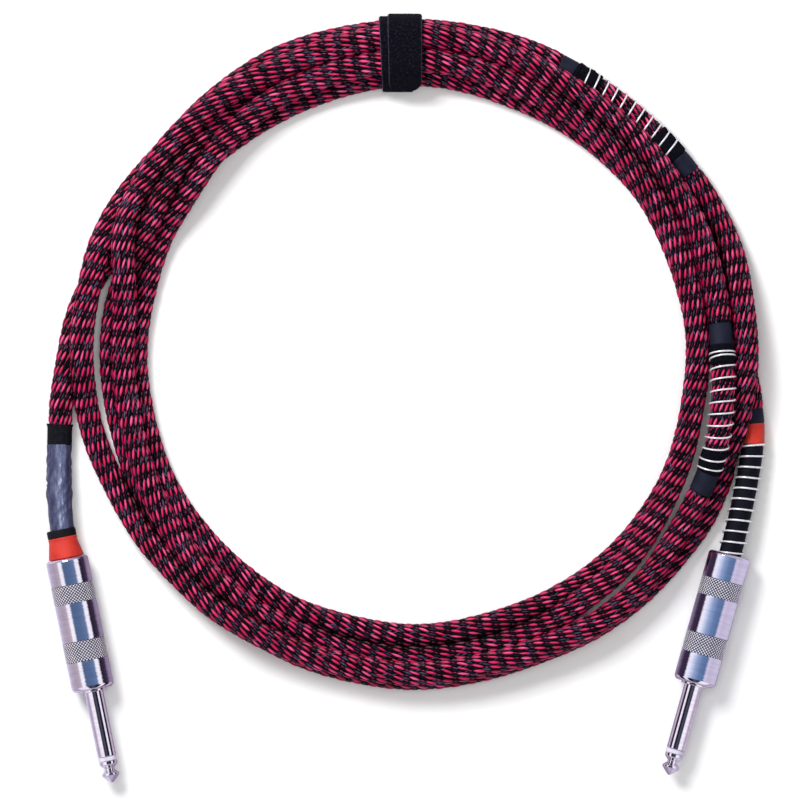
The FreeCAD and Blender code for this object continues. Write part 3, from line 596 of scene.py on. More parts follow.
def plain_material(name, dark, light, rough, metallic, scale, bump_strength, specular):
    """Two mottled tones with a finer grain."""
    shader = new_material(name)
    vector = shader.coords("Object")
    mottle = shader.noise(vector, scale)
    grain = shader.noise(vector, scale * 2.3)
    shader.surface("BsdfPrincipled", {
        "Base Color": shader.ramp(mottle, [(0.3, dark), (0.7, light)]),
        "Roughness": shader.remap(mottle, *rough),
        "Metallic": metallic,
        "Specular IOR Level": specular,
        "Normal": shader.bump(grain, bump_strength, distance=0.00015),
    })


def yarn_material(name, stops, dark, rough, specular, grain):
    """Filament streaks along the yarn, a tone per float, a painted highlight along each float's
    middle and painted shade on its flanks and ends.

    grain stretches the streaks: smaller is longer; dark is the colour of the painted shade.
    """
    shader = new_material(name)
    streaks = shader.noise(shader.coords("UV", (9, grain, 1)), scale=3.0, detail=4, roughness=0.65)
    # painted light: the attribute lifts the tone towards the ramp's pale top stop (painted highlight)
    # and, where low, mixes in the dark colour (painted shade)
    painted_light = shader.attribute("painted_light")
    tone = shader.math("MULTIPLY_ADD", streaks, 0.55, shader.attribute("yarn"))
    tone = shader.math("MULTIPLY_ADD", painted_light, 0.22, tone)
    height = shader.remap(painted_light, 0.0, 1.0, from_min=0.18, from_max=0.92)
    shader.surface("BsdfPrincipled", {
        "Base Color": shader.mix(height, srgb(dark), shader.ramp(tone, stops)),
        "Roughness": shader.remap(streaks, *rough),
        "Specular IOR Level": specular,
        "Normal": shader.bump(streaks, strength=0.5, distance=0.00012),
    })


def shrink_material():
    """Crumpled sleeve: blue-grey, with a painted highlight of lighter ragged streaks along the top.
    """
    top = 0.235                                    # u of the streaks' middle
    shader = new_material("grey_shrink")
    base = shader.noise(shader.coords("UV", (20, 1.6, 1)), scale=1.0, detail=6, roughness=0.72)
    ragged = shader.noise(shader.coords("UV", (34, 5.5, 1)), scale=1.0, detail=5, roughness=0.75)
    around = shader.node("SeparateXYZ", {0: shader.node("TexCoord", {}, "UV")}, "X")
    from_highlight = shader.math("ABSOLUTE", shader.math("SUBTRACT", around, top))
    # painted highlight: ragged streaks lighten a band about u = top, up to the ramp's palest stops
    mask = shader.remap(from_highlight, 0.30, 0.0, from_min=0.02, from_max=0.09)
    tone = shader.math("MULTIPLY_ADD", mask, ragged, shader.math("MULTIPLY", base, 0.75))
    shader.surface("BsdfPrincipled", {
        "Base Color": shader.ramp(tone, [
            (0.26, (34, 36, 62)), (0.39, (60, 64, 94)), (0.50, (88, 94, 126)),
            (0.57, (112, 120, 152)), (0.63, (176, 184, 210))]),
        "Roughness": shader.remap(base, 0.60, 0.38),
        "Specular IOR Level": 0.35,
        "Normal": shader.bump(ragged, strength=0.6, distance=0.0003),
    })


def metal_material(name, tints, rough, lines, ripple, knurled=False):
    """Turned metal: fine lines round the axis, in UV so that they follow the part.

    knurled paints shade into the hollows, dulls the facets and ruffles the normal.
    """
    shader = new_material(name)
    turned = shader.noise(shader.coords("UV", (0.6, lines, 1)), scale=1.0)
    broad = shader.noise(shader.coords("UV", (3, 6, 1)), scale=1.0, detail=2)
    colour = shader.ramp(broad, list(zip((0.3, 0.7), tints)))
    normal = shader.bump(turned, ripple, distance=0.00004)
    metallic = 1.0
    if knurled:
        # painted shade: the knurl's hollows mix towards a dark violet
        height = shader.remap(shader.attribute("knurl_shading"), 0.0, 1.0, from_min=0.30, from_max=0.62)
        colour = shader.mix(height, srgb((40, 33, 60)), colour)
        facet = shader.attribute("facet")
        metallic = shader.remap(facet, 1.0, 0.25, from_min=0.25, from_max=0.75)
        tangent = shader.node("Tangent", {}, direction_type="UV_MAP", uv_map="UVMap")
        scratches = shader.noise(shader.coords("UV", (0.8, 30, 1)), scale=1.0, detail=4,
                                 roughness=0.8)
        push = {0: tangent, "Scale": shader.remap(scratches, -0.06, 0.06)}
        push = shader.node("VectorMath", push, operation="SCALE")
        normal = shader.node("VectorMath", {0: normal, 1: push}, operation="ADD")
        normal = shader.node("VectorMath", {0: normal}, operation="NORMALIZE")
    shader.surface("BsdfPrincipled", {
        "Base Color": colour,
        "Roughness": shader.remap(turned, *rough),
        "Metallic": metallic,
        "Normal": normal,
    })


def strap_material():
    """Napped webbing: mottled near-black, greyer on the selvedge and the loose fibres."""
    shader = new_material("strap_nap")
    nap = shader.noise(shader.coords("UV"), scale=13, detail=5, roughness=0.8)
    tone = shader.math("MULTIPLY_ADD", shader.attribute("pale"), 0.35, nap)
    shader.surface("BsdfPrincipled", {
        "Base Color": shader.ramp(tone, [
            (0.38, (2, 2, 6)), (0.54, (12, 11, 20)), (0.66, (40, 38, 54)), (0.85, (84, 84, 98))]),
        "Roughness": shader.remap(nap, 0.85, 1.0),
        "Specular IOR Level": 0.08,
        "Normal": shader.bump(nap, strength=0.8, distance=0.0003),
    })


# the palest stop of each ramp is the painted highlight on the yarns; dark is their painted shade
yarn_material("yarn_red", [(0.20, (96, 0, 38)), (0.46, (178, 4, 68)), (0.72, (220, 26, 98)),
                           (1.0, (250, 112, 168))],
              dark=(20, 0, 10), rough=(0.26, 0.42), specular=0.32, grain=0.7)
yarn_material("yarn_black", [(0.25, (1, 1, 3)), (0.62, (5, 6, 11)), (0.76, (20, 22, 38)),
                             (0.88, (86, 92, 120))],
              dark=(0, 0, 1), rough=(0.45, 0.62), specular=0.07, grain=2.6)
for name, values in PLAIN.items():
    plain_material(name, *values)
strap_material()
shrink_material()
metal_material("plug_metal", ((222, 217, 230), (236, 233, 242)), rough=(0.05, 0.11), lines=260,
               ripple=0.10, knurled=True)
metal_material("contact_metal", ((222, 217, 230), (240, 237, 244)), rough=(0.04, 0.10), lines=120,
               ripple=0.12)

# ---------------------------------------------------------------- leads, and the bodies that parts ride on
LEFT_MIDDLE, RIGHT_MIDDLE = s_left(-37.0), s_right(-44.6)
LEAD_SETBACK = 22.0                                # braid hidden in each plug
# part a lies at the coil, part b behind the plug; each: arc span, then the bend's start and end
LEADS = {
    "left": {
        "a": ((LEFT_MIDDLE, COIL_START), (COIL_START, s_left(-31.0))),
        "b": ((LEAD_SETBACK, LEFT_MIDDLE), (s_left(-34.0), s_left(-53.5))),
    },
    "right": {
        "a": ((COIL_END, RIGHT_MIDDLE), (COIL_END, s_right(-43.5))),
        "b": ((RIGHT_MIDDLE, LENGTH - LEAD_SETBACK), (s_right(-46.0), s_right(-64.0))),
    },
}


def assign(thing, slot, place, *nodes):
    """place: the body it rides on, or (side, part) of the lead it lies along.
    """
    if isinstance(place, str):
        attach(thing, place)
    else:
        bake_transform(thing)
    if nodes:
        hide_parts(*nodes)


def add(name, mesh, material, slot, place, node, attributes=None, sharp=None):
    assign(make_object(name, mesh, material, attributes, sharp=sharp), slot, place, node)


# ---------------------------------------------------------------- braid
YARNS = 24                                         # each way round
CROSSING = 1.37                                    # cable length between crossings
TWIST = math.pi / (YARNS * CROSSING)               # radians per mm
BRAID_RADIUS = 3.95
YARN_HEIGHT = 0.40
SLANT = math.atan(TWIST * BRAID_RADIUS)            # yarn direction against the cable's
# kinds of float; RED_GAP is a red yarn showing between the yarns over it
BLACK_FLOAT, RED_FLOAT, RED_GAP, CROSS_FLOAT = range(4)
# length, width, height by kind, and each one's random spread
FLOAT_SIZES = np.array([
    (4.2, 1.12, 1.08 * YARN_HEIGHT),
    (5.0, 1.24, 1.40 * YARN_HEIGHT),
    (1.9, 0.52, 1.05 * YARN_HEIGHT),
    (3.3, 0.98, 0.85 * YARN_HEIGHT),
])
FLOAT_SPREAD = (0.10, 0.15, 0.12)
FLOAT_ROWS, FLOAT_COLUMNS = 8, 5


def float_centres(start, end):
    """Rows (s, angle, kind) of the yarn floats between start and end."""
    repeat = np.arange(int(start / (4 * CROSSING)) - 1, int(end / (4 * CROSSING)) + 2)
    rows = []

    def add_yarn(yarn, first, kind):
        s = CROSSING * (4 * repeat + first + 0.5)
        turn = 1 if kind == CROSS_FLOAT else -1
        angle = 2 * math.pi * yarn / YARNS + turn * TWIST * s
        rows.append(np.stack([s, angle, np.full(len(s), float(kind))], 1))

    for i in range(YARNS):
        first = (-2 * i) % 4
        if i % 2:
            add_yarn(i, first, BLACK_FLOAT)
        else:
            add_yarn(i, first, RED_FLOAT)
            add_yarn(i, first + 2, RED_GAP)
    for i in range(YARNS):
        add_yarn(i, -1 if i % 2 else 1, CROSS_FLOAT)
    rows = np.vstack(rows)
    return rows[(rows[:, 0] >= start) & (rows[:, 0] < end)]


def float_mesh(centres):
    """A raised leaf of yarn at each centre, with its 'yarn' tone and an attribute of painted light:
    highlight along its middle, shade at its flanks and ends and where strands press together.
    """
    count = len(centres)
    kind = centres[:, 2].astype(int)
    gap = kind == RED_GAP

    def column(values):
        return values[:, None, None]

    s = centres[:, 0] + RNG.normal(0, 0.13, count) * np.where(gap, 1.6, 1)
    angle = centres[:, 1] + RNG.normal(0, 0.020, count) * np.where(gap, 1.6, 1)
    length, width, height = (
        column(size * (1 + RNG.uniform(-spread, spread, count)))
        for size, spread in zip(FLOAT_SIZES[kind].T, FLOAT_SPREAD))
    q = np.linspace(-1, 1, FLOAT_ROWS)[None, :, None]
    side = np.linspace(-1, 1, FLOAT_COLUMNS)[None, None, :]
    lengthwise = 0.5 * q * length
    sideways = side / 2 * width * (1 - 0.82 * np.abs(q) ** 1.7)
    turn = column(np.where(kind == CROSS_FLOAT, 1.0, -1.0))
    skew = column(RNG.normal(0, 0.055, count))
    cos = math.cos(SLANT) - math.sin(SLANT) * skew
    sin = math.sin(SLANT) + math.cos(SLANT) * skew
    s = column(s) + lengthwise * cos - sideways * turn * sin
    angle = column(angle) + (lengthwise * turn * sin + sideways * cos) / BRAID_RADIUS
    rise = 1 - np.abs(q) ** 2.6
    arch = np.sqrt(1 - side ** 2 * 0.97)
    # painted light: 1 along the float's middle, falling to painted shade at its flanks, its ends and
    # where strands press together
    painted_light = rise ** 0.6 * arch * (1 - 0.88 * braid_radius(s, angle, PINCH_SHADE))
    # painted shade: a red yarn seen between the yarns over it stays darker
    painted_light = painted_light * column(np.where(gap, 0.62, 1.0))
    radius = braid_radius(s, angle) - YARN_HEIGHT - 0.06 + height * rise * arch + 0.06 * rise
    verts = to_scene(round_cable(s, angle, radius)).reshape(-1, 3)
    starts = column(np.arange(count) * FLOAT_ROWS * FLOAT_COLUMNS)
    faces = (grid_faces(FLOAT_ROWS, FLOAT_COLUMNS)[None] + starts).reshape(-1, 4)
    u = np.linspace(0, 1, FLOAT_COLUMNS) + column(RNG.uniform(0, 50, count))
    v = lengthwise / 4 + column(RNG.uniform(0, 50, count))
    uv = np.stack([np.broadcast_to(u, s.shape), np.broadcast_to(v, s.shape)], -1).reshape(-1, 2)
    red = (kind == RED_FLOAT) | gap
    tone = np.where(red, RNG.uniform(0.0, 0.40, count), RNG.uniform(0.12, 0.36, count))
    tone = np.broadcast_to(column(tone), s.shape).ravel()
    return (verts, faces[:, ::-1], uv), {"yarn": tone, "painted_light": painted_light.ravel()}


def covered(s):
    """True where the braid is hidden under an opaque sleeve."""
    hidden = [(0, WRAP[1]), (TUBE[0], LENGTH), (BLACK[0], ORANGE[1])]
    for spring in SPRINGS.values():
        collars, tapes = spring["collars"], spring["tapes"]
        hidden += [(collars[0][0], tapes[0][1]), (tapes[1][0], collars[1][1])]
    mask = np.zeros(len(s), bool)
    for start, end in hidden:
        mask |= (s > start + 1.2) & (s < end - 1.2)
    return mask


def braid(tag, start, end):
    """The dark underlay, red floats and black floats of one stretch, as objects."""
    centres = float_centres(start, end)
    centres = centres[~covered(centres[:, 0])]
    rows = int(end - start) + 1
    s, angle = np.meshgrid(np.linspace(start, end, rows), angles(56), indexing="ij")
    verts = to_scene(round_cable(s, angle, braid_radius(s, angle) - 0.34)).reshape(-1, 3)
    uv = np.stack([angle / (2 * math.pi), s / 10], -1).reshape(-1, 2)
    mesh = (verts, grid_faces(rows, 56, wrap=True, flip=True), uv)
    made = [make_object(tag + "_underlay", mesh, "yarn_shadow")]
    red = np.isin(centres[:, 2], (RED_FLOAT, RED_GAP))
    for colour, chosen in (("red", centres[red]), ("black", centres[~red])):
        if len(chosen):
            mesh, attributes = float_mesh(chosen)
            made.append(make_object(f"{tag}_yarn_{colour}", mesh, "yarn_" + colour, attributes))
    return made


COIL_STRETCHES = 8
cuts = np.linspace(COIL_START, COIL_END, COIL_STRETCHES + 1)
for i in range(COIL_STRETCHES):
    replaced = ["coil_braid_sleeve"] if i == 0 else []
    for thing in braid("coil_%d" % (i + 1), cuts[i], cuts[i + 1]):
        assign(thing, "braid", "coil", *replaced)

# layers under the braid: name, outer and inner radius, setback in the plug, material, slot
LAYERS = (
    ("outer_jacket", 2.85, 2.45, 12.0, "jacket_rubber", "jacket"),
    ("braided_shield", 2.1, 1.95, 10.0, "shield_wire", "shield"),
    ("core_insulation", 1.6, 0.9, 6.0, "core_insulation", "insulation"),
    ("centre_conductor", CONDUCTOR_RADIUS, 0.05, 3.0, "copper_strand", "copper"),
)
for side, parts in LEADS.items():
    for part, ((start, end), _) in parts.items():
        for thing in braid(f"{side}_lead_{part}", start, end):
            assign(thing, "braid", (side, part), side + "_lead_braid_sleeve")
        for layer, outer, inner, setback, material, slot in LAYERS:
            span = (start, end)
            if part == "b":
                span = (setback, end) if side == "left" else (start, LENGTH - setback)
            mesh = path_tube(span, outer, inner, columns=32, step=1.5, lip=0.03)
            add(f"{side}_lead_{layer}_{part}", mesh, material, slot, (side, part),
                f"{side}_lead_{layer}", sharp=0.7)


# ---------------------------------------------------------------- sleeves on the cable
def wrinkle(s, angle, waves, height, seed):
    random = np.random.default_rng(seed)
    total = np.zeros(s.shape)
    for _ in range(waves):
        frequency, lobes = random.uniform(0.15, 1.2), random.integers(1, 7)
        phase = random.uniform(0, 6.28)
        total += np.sin(s * frequency + phase + lobes * angle * random.choice([-1, 1]))
    return total / math.sqrt(waves) * height


def wrinkled(radius, waves, height, seed):
    """An outer radius for path_tube with slight wrinkles."""
    return lambda s, angle: radius + wrinkle(s, angle, waves, height, seed)


def felt(turns):
    """Thick felt, drawn in where each turn of the spring crosses it."""
    def radius(s, angle):
        turn = np.interp(s, turns, np.arange(len(turns)), left=-0.5, right=len(turns) - 0.5)
        turn = turn - (math.pi / 2 - angle) / (2 * math.pi)
        inside = (s > turns[0] - 1) & (s < turns[-1] + 1)
        swell = np.where(inside, np.abs(np.sin(math.pi * turn)) ** 0.6, 0.85)
        rough = np.random.default_rng(31).normal(0, 0.045, s.shape)
        return 3.92 + 0.46 * swell + wrinkle(s * 1.4, angle, 12, 0.12, seed=5) + rough
    return radius


def crumpled(s, angle):
    """The left sleeve: a swelling, one nick at its left and creases, smooth near the plug."""
    swell = 0.30 * np.exp(-((s - s_left(-44.5)) / 6.0) ** 2)
    nick = 0.62 * np.exp(-((s - s_left(-42.9)) / 0.55) ** 2)
    nick = nick * np.exp(-((angle - math.pi) / 0.40) ** 2)
    crease = 0.20 * np.abs(np.sin(s * 0.55 + 2.2 * np.sin(angle * 2 + s * 0.21))) ** 3
    fade = np.clip((s - s_left(-61.5)) / 3.0, 0, 1)
    rough = wrinkle(s, angle, 14, 0.10, seed=11)
    return np.minimum(4.02 + (rough + swell + crease) * fade - nick, 4.6)


def wound(s, angle):
    """Thread wound round and round, flared at the coil's end."""
    pitch = 0.62
    phase = (s / pitch + angle / (2 * math.pi)) % 1.0
    flare = 0.45 * np.clip((s - WRAP[1] + 1.5) / 1.5, 0, 1) ** 2
    strand = 0.22 * np.sqrt(np.clip(1 - (2 * phase - 1) ** 2, 0, 1))
    return 4.05 + strand + flare + wrinkle(s, angle, 5, 0.04, seed=2)


BORE = 3.62                                        # inner radius of collars, tapes and bands
for tag, spring in SPRINGS.items():
    outer = wrinkled(3.93, waves=8, height=0.03, seed=3)
    tubes = [path_tube(span, outer, BORE, 72, step=0.4, lip=0.18) for span in spring["collars"]]
    add(tag + "_collars", join(tubes), "navy_collar", "navy_collar", "coil",
        tag + "_spring_collars", sharp=1.2)
    outer = felt(spring["turns"])
    tubes = [path_tube(span, outer, BORE, 112, step=0.2, lip=0.4) for span in spring["tapes"]]
    add(tag + "_tape", join(tubes), "felt_tape", "felt_tape", "coil",
        tag + "_spring_tape_bands", sharp=1.2)

RELIEF_OUTER = wrinkled(3.80, waves=6, height=0.03, seed=6)
# name, tube, material, slot, place, CAD node
SLEEVES = (
    ("left_shrink", path_tube(SHRINK, crumpled, 3.6, 128, step=0.2, lip=0.15),
     "grey_shrink", "grey_shrink", ("left", "b"), "left_heat_shrink"),
    ("left_wrap", path_tube(WRAP, wound, 3.7, 96, step=0.09, lip=0.1),
     "wound_thread", "thread", ("left", "a"), "left_thread_wrap"),
    ("right_orange",
     path_tube(ORANGE, wrinkled(3.95, waves=6, height=0.02, seed=4), BORE, 96, step=0.4, lip=0.1),
     "orange_sleeve", "orange_plastic", "coil", "right_orange_band"),
    ("right_shrink",
     path_tube(BLACK, wrinkled(3.88, waves=6, height=0.04, seed=9), BORE, 96, step=0.4, lip=0.15),
     "navy_collar", "black_plastic", "coil", "right_black_shrink"),
    ("right_relief_tube_a",
     path_tube((TUBE[0], RIGHT_MIDDLE), RELIEF_OUTER, 3.60, 96, step=0.5, lip=0.02),
     "black_tube", "black_plastic", ("right", "a"), "right_relief_tube"),
    ("right_relief_tube_b",
     path_tube((RIGHT_MIDDLE, TUBE[1]), RELIEF_OUTER, 3.60, 96, step=0.5, lip=0.02),
     "black_tube", "black_plastic", ("right", "b"), "right_relief_tube"),
)
for name, mesh, material, slot, place, node in SLEEVES:
    add(name, mesh, material, slot, place, node, sharp=1.2)


# ---------------------------------------------------------------- springs on the cable
def wire_mesh(points, radius, columns=12):
    """A round wire through the points (mm), closed at both ends."""
    tangents = unit(np.gradient(points, axis=0))
    first = np.cross(tangents[0], VERTICAL)
    if np.linalg.norm(first) < 0.2:
        first = np.cross(tangents[0], [1.0, 0, 0])
    side = np.zeros_like(tangents)
    side[0] = unit(first)
    for i in range(1, len(points)):                # carried along so that the section never flips
        side[i] = unit(side[i - 1] - tangents[i] * (side[i - 1] @ tangents[i]))
    other = np.cross(tangents, side)
    angle = angles(columns)
    rings = points[:, None, :] + radius * (side[:, None, :] * np.cos(angle)[None, :, None]
                                           + other[:, None, :] * np.sin(angle)[None, :, None])
    caps = [np.repeat(points[[k], None], columns, 1) for k in (0, -1)]
    verts = np.concatenate([caps[0], rings, caps[1]]).reshape(-1, 3)
    rows = len(points) + 2
    uv = np.stack(np.meshgrid(angle / 6.28, np.arange(rows) * 0.1), -1).reshape(-1, 2)
    return to_scene(verts), grid_faces(rows, columns, wrap=True, flip=True), uv


def helix(turns, radius, steps=44, overrun=0.27):
    """Arc lengths and points of a wire that crosses the top at each of the turns.

    steps: per turn; overrun: the part of a turn past the first and last crossing.
    """
    last = len(turns) - 1
    turn = np.linspace(-overrun, last + overrun, int((last + 2 * overrun) * steps))
    stations = np.r_[2 * turns[0] - turns[1], turns, 2 * turns[-1] - turns[-2]]
    s = np.interp(turn, np.arange(-1, last + 2), stations)
    return s, round_cable(s, math.pi / 2 - 2 * math.pi * turn, radius)


for tag, spring in SPRINGS.items():
    _, points = helix(spring["turns"], 4.30)
    add(tag + "_spring", wire_mesh(points, 0.31), "spring_wire", "spring_wire", "coil",
        tag + "_wire_spring")
wire_s, points = helix(RIGHT_TURNS, 4.31)
split = int(np.searchsorted(wire_s, RIGHT_MIDDLE))
for part, piece in (("a", points[:split + 1]), ("b", points[split:])):
    add("right_spring_" + part, wire_mesh(piece, 0.33), "spring_wire", "spring_wire",
        ("right", part), "right_relief_spring")

# ---------------------------------------------------------------- plugs
KNURL_BANDS = ((9.1, 15.4), (28.5, 35.5))          # s from the handle's rear
KNURL_DEPTH = 0.13
KNURL_HEIGHT = 0.19
KNURL_COUNT = 40
THREAD_PITCH = 0.75


def zigzag(x):
    """1 at whole numbers, 0 halfway between."""
    return np.abs((x % 1.0) * 2 - 1)


def thread_wave(s, angle):
    return zigzag(s / THREAD_PITCH - angle / (2 * math.pi))


def handle_outside():
    radius, rear_round, front_round = HANDLE_RADIUS, 1.2, 1.6
    quarter = np.linspace(0, math.pi / 2, 9)
    profile = [(0.0, 5.5)]
    profile += [(rear_round * (1 - math.cos(a)), radius + rear_round * (math.sin(a) - 1))
                for a in quarter]
    for start, end in KNURL_BANDS:
        # (distance outside the band, depth) of the groove that the knurl stands in
        groove = ((0.32, 0), (0.28, 0.13), (0.05, 0.14), (0, 0.16))
        profile += [(start - out, radius - depth) for out, depth in groove]
        profile += [(end + out, radius - depth) for out, depth in groove[::-1]]
    profile += [(HANDLE_LENGTH + front_round * (math.sin(a) - 1),
                 radius + front_round * (math.cos(a) - 1)) for a in quarter]
    return lathe(profile + [(HANDLE_LENGTH, 5.6), (43.4, 5.55)], 192)


def handle_bore():
    """The inside, from the front: a thread, then a plain bore."""
    profile = [(43.4, 5.55), (43.3, 5.2)]
    profile += [(s, 5.2) for s in np.arange(43.2, 36.45, -THREAD_PITCH / 8)]
    profile += [(36.4, 5.25), (36.4, 6.1), (2.5, 6.1), (2.5, 5.5), (0.0, 5.5)]

    def thread(s, angle, radius):
        threaded = (s > 36.42) & (s < 43.25)
        return radius + np.where(threaded, 0.33 * thread_wave(s, angle), 0)
    return lathe(profile, 128, thread)


def knurl_band(start, end):
    def knurl(s, angle, radius):
        u = angle / (2 * math.pi) * KNURL_COUNT
        v = (s - start) / 1.12
        diamond = np.minimum(zigzag(u + v), zigzag(u - v))
        edge = np.clip(np.minimum(s - start, end - s) / 0.12, 0, 1)
        return radius - KNURL_DEPTH + KNURL_HEIGHT * np.clip(diamond * 3.3 - 0.62, 0, 1) * edge
    stations = np.linspace(start - 0.02, end + 0.02, int((end - start) / 0.07))
    return lathe([(s, HANDLE_RADIUS) for s in stations], KNURL_COUNT * 8, knurl)


def handle():
    """The handle's mesh, and the knurl's height in two attributes: one paints shade into the hollows,
    'facet' dulls the tops.
    """
    meshes = [handle_outside(), handle_bore()]
    knurl_shading = [np.ones(len(mesh[0])) for mesh in meshes]
    facet = [np.zeros(len(mesh[0])) for mesh in meshes]
    for band in KNURL_BANDS:
        mesh = knurl_band(*band)
        radius = np.hypot(mesh[0][:, 1], mesh[0][:, 2])
        height = np.clip((radius - (HANDLE_RADIUS - KNURL_DEPTH)) / KNURL_HEIGHT, 0, 1)
        meshes.append(mesh)
        knurl_shading.append(height)
        facet.append(height)
    return join(meshes), {"knurl_shading": np.concatenate(knurl_shading), "facet": np.concatenate(facet)}


def ground_sleeve():
    """The threaded root, a notched flange and the long contact."""
    profile = [(36.6, 2.15), (36.6, 4.6), (36.9, 4.95)]
    profile += [(s, 5.05) for s in np.arange(37.0, 43.0, THREAD_PITCH / 8)]
    profile += [(43.1, 4.6), (43.6, 4.6), (43.6, 5.1), (43.75, 5.25), (45.3, 5.25), (45.5, 5.05),
                (45.5, 4.5), (45.6, 4.4), (46.2, 4.4), (46.3, 4.3), (46.3, 3.3),
                (46.4, CONTACT_RADIUS)]
    profile += [(s, CONTACT_RADIUS) for s in np.linspace(47.0, 68.6, 8)]
    profile += [(68.85, 3.12), (69.0, 2.9), (69.0, 2.15), (36.6, 2.15)]

    def shape(s, angle, radius):
        threaded = (s > 36.95) & (s < 43.05) & (radius > 5.0)
        flange = (s > 43.65) & (s < 45.4) & (radius > 5.2)
        notch = 0.22 * np.clip(np.cos(angle * 30) * 1.6 + 0.2, 0, 1)
        return (radius - np.where(threaded, 0.38 * (1 - thread_wave(s, angle)), 0)
                - np.where(flange, notch, 0))
    return lathe(profile, 240, shape)


def tip_contact():
    """A headed rod, the waisted tip and its round nose."""
    profile = [(32.4, 0.01), (32.4, 1.35), (32.55, 1.5), (33.15, 1.5), (33.3, 1.35), (33.3, 0.95),
               (70.6, 0.95), (70.6, 3.0), (70.7, 3.08), (71.5, 3.08), (71.7, 3.0), (72.0, 2.8),
               (72.9, 1.78), (73.2, 1.66), (73.6, 1.68), (73.9, 1.86), (74.4, 2.5), (74.75, 2.84),
               (75.05, 2.98), (75.35, 2.97), (75.6, 2.86), (77.3, 1.16)]
    nose = 0.95
    profile += [(77.05 + nose * math.sin(a), nose * math.cos(a)) for a in np.linspace(0.9, 1.56, 7)]
    return lathe(rounded(profile + [(78.0, 0.005)], 0.06, 2), 96)


def tip_insulator():
    return lathe([(36.9, 1.2), (36.9, 1.95), (69.1, 1.95), (69.1, 2.95), (69.2, 3.08),
                  (70.35, 3.08), (70.5, 2.95), (70.5, 1.2), (36.9, 1.2)], 96)


handle_mesh, handle_attributes = handle()
# name, mesh, attributes, material, slot, body, CAD node
PLUG_PARTS = (
    ("_handle", handle_mesh, handle_attributes, "plug_metal", "plug_metal", "_handle",
     "_plug_handle"),
    ("_sleeve", ground_sleeve(), None, "contact_metal", "plug_metal", "_plug", "_ground_sleeve"),
    ("_tip", tip_contact(), None, "contact_metal", "plug_metal", "_plug", "_tip_contact"),
    ("_tip_ring", tip_insulator(), None, "insulator_ring", "insulator", "_plug",
     "_tip_insulator"),
)
for side in PLUGS:
    for name, mesh, attributes, material, slot, body, node in PLUG_PARTS:
        add(side + name, on_plug(mesh, side), material, slot, side + body, side + node,
            attributes, sharp=0.6)

# behind the left handle: an orange bushing, then a black ring
bushing = rounded([
    (-7.3, 4.45), (-7.3, 4.78), (-6.95, 4.98), (-6.3, 4.86), (-5.6, 4.95), (-0.75, 5.98),
    (-0.2, 6.1), (-0.12, 5.4), (2.4, 5.3), (2.4, 4.45), (-7.3, 4.45)], 0.15, 3)
add("left_bushing", on_plug(lathe(bushing, 128), "left"), "orange_sleeve", "orange_plastic",
    "left_liner", "left_cable_bushing", sharp=0.9)
ring = rounded([
    (-10.0, 4.45), (-10.0, 4.7), (-9.6, 4.95), (-7.5, 4.95), (-7.32, 4.85), (-7.32, 4.45),
    (-10.0, 4.45)], 0.2, 4)
add("left_ring", on_plug(lathe(ring, 96), "left"), "black_ring", "black_plastic",
    "left_liner", "left_bushing_ring", sharp=0.9)

# ---------------------------------------------------------------- strap
# y, z of the outermost strand axes where the strap goes round the bundle, at the +Y side
HULL = np.array([(95.369, 5.288), (110.558, 5.243), (111.164, 5.435), (109.582, 12.498),
                 (100.821, 12.278), (100.047, 11.915)])
STRAP_THICKNESS = 1.15
WRAP_STEP = 0.35


def wrap_line(distance):
    """Points (y, z) and outward normals at a distance round the bundle, from below."""
    points, normals = [], []
    edges = unit(np.roll(HULL, -1, 0) - HULL)
    outward = np.stack([edges[:, 1], -edges[:, 0]], 1)
    for i in range(len(HULL)):
        j = (i + 1) % len(HULL)
        start, end = HULL[i], HULL[j]
        count = max(1, int(np.linalg.norm(end - start) / WRAP_STEP))
        for t in np.arange(count) / count:
            points.append(start + (end - start) * t + outward[i] * distance)
            normals.append(outward[i])
        angle = math.acos(max(-1, min(1, float(outward[i] @ outward[j]))))
        count = max(2, int(angle * distance / WRAP_STEP))
        for t in np.arange(count) / count:
            normal = unit(outward[i] * math.sin((1 - t) * angle) + outward[j] * math.sin(t * angle))
            points.append(end + normal * distance)
            normals.append(normal)
    return np.array(points), np.array(normals)


def smooth_line(points, normals, closed):
    for _ in range(6):
        points = blur(points, 0, closed)
        normals = unit(blur(normals, 0, closed))
    return points, normals


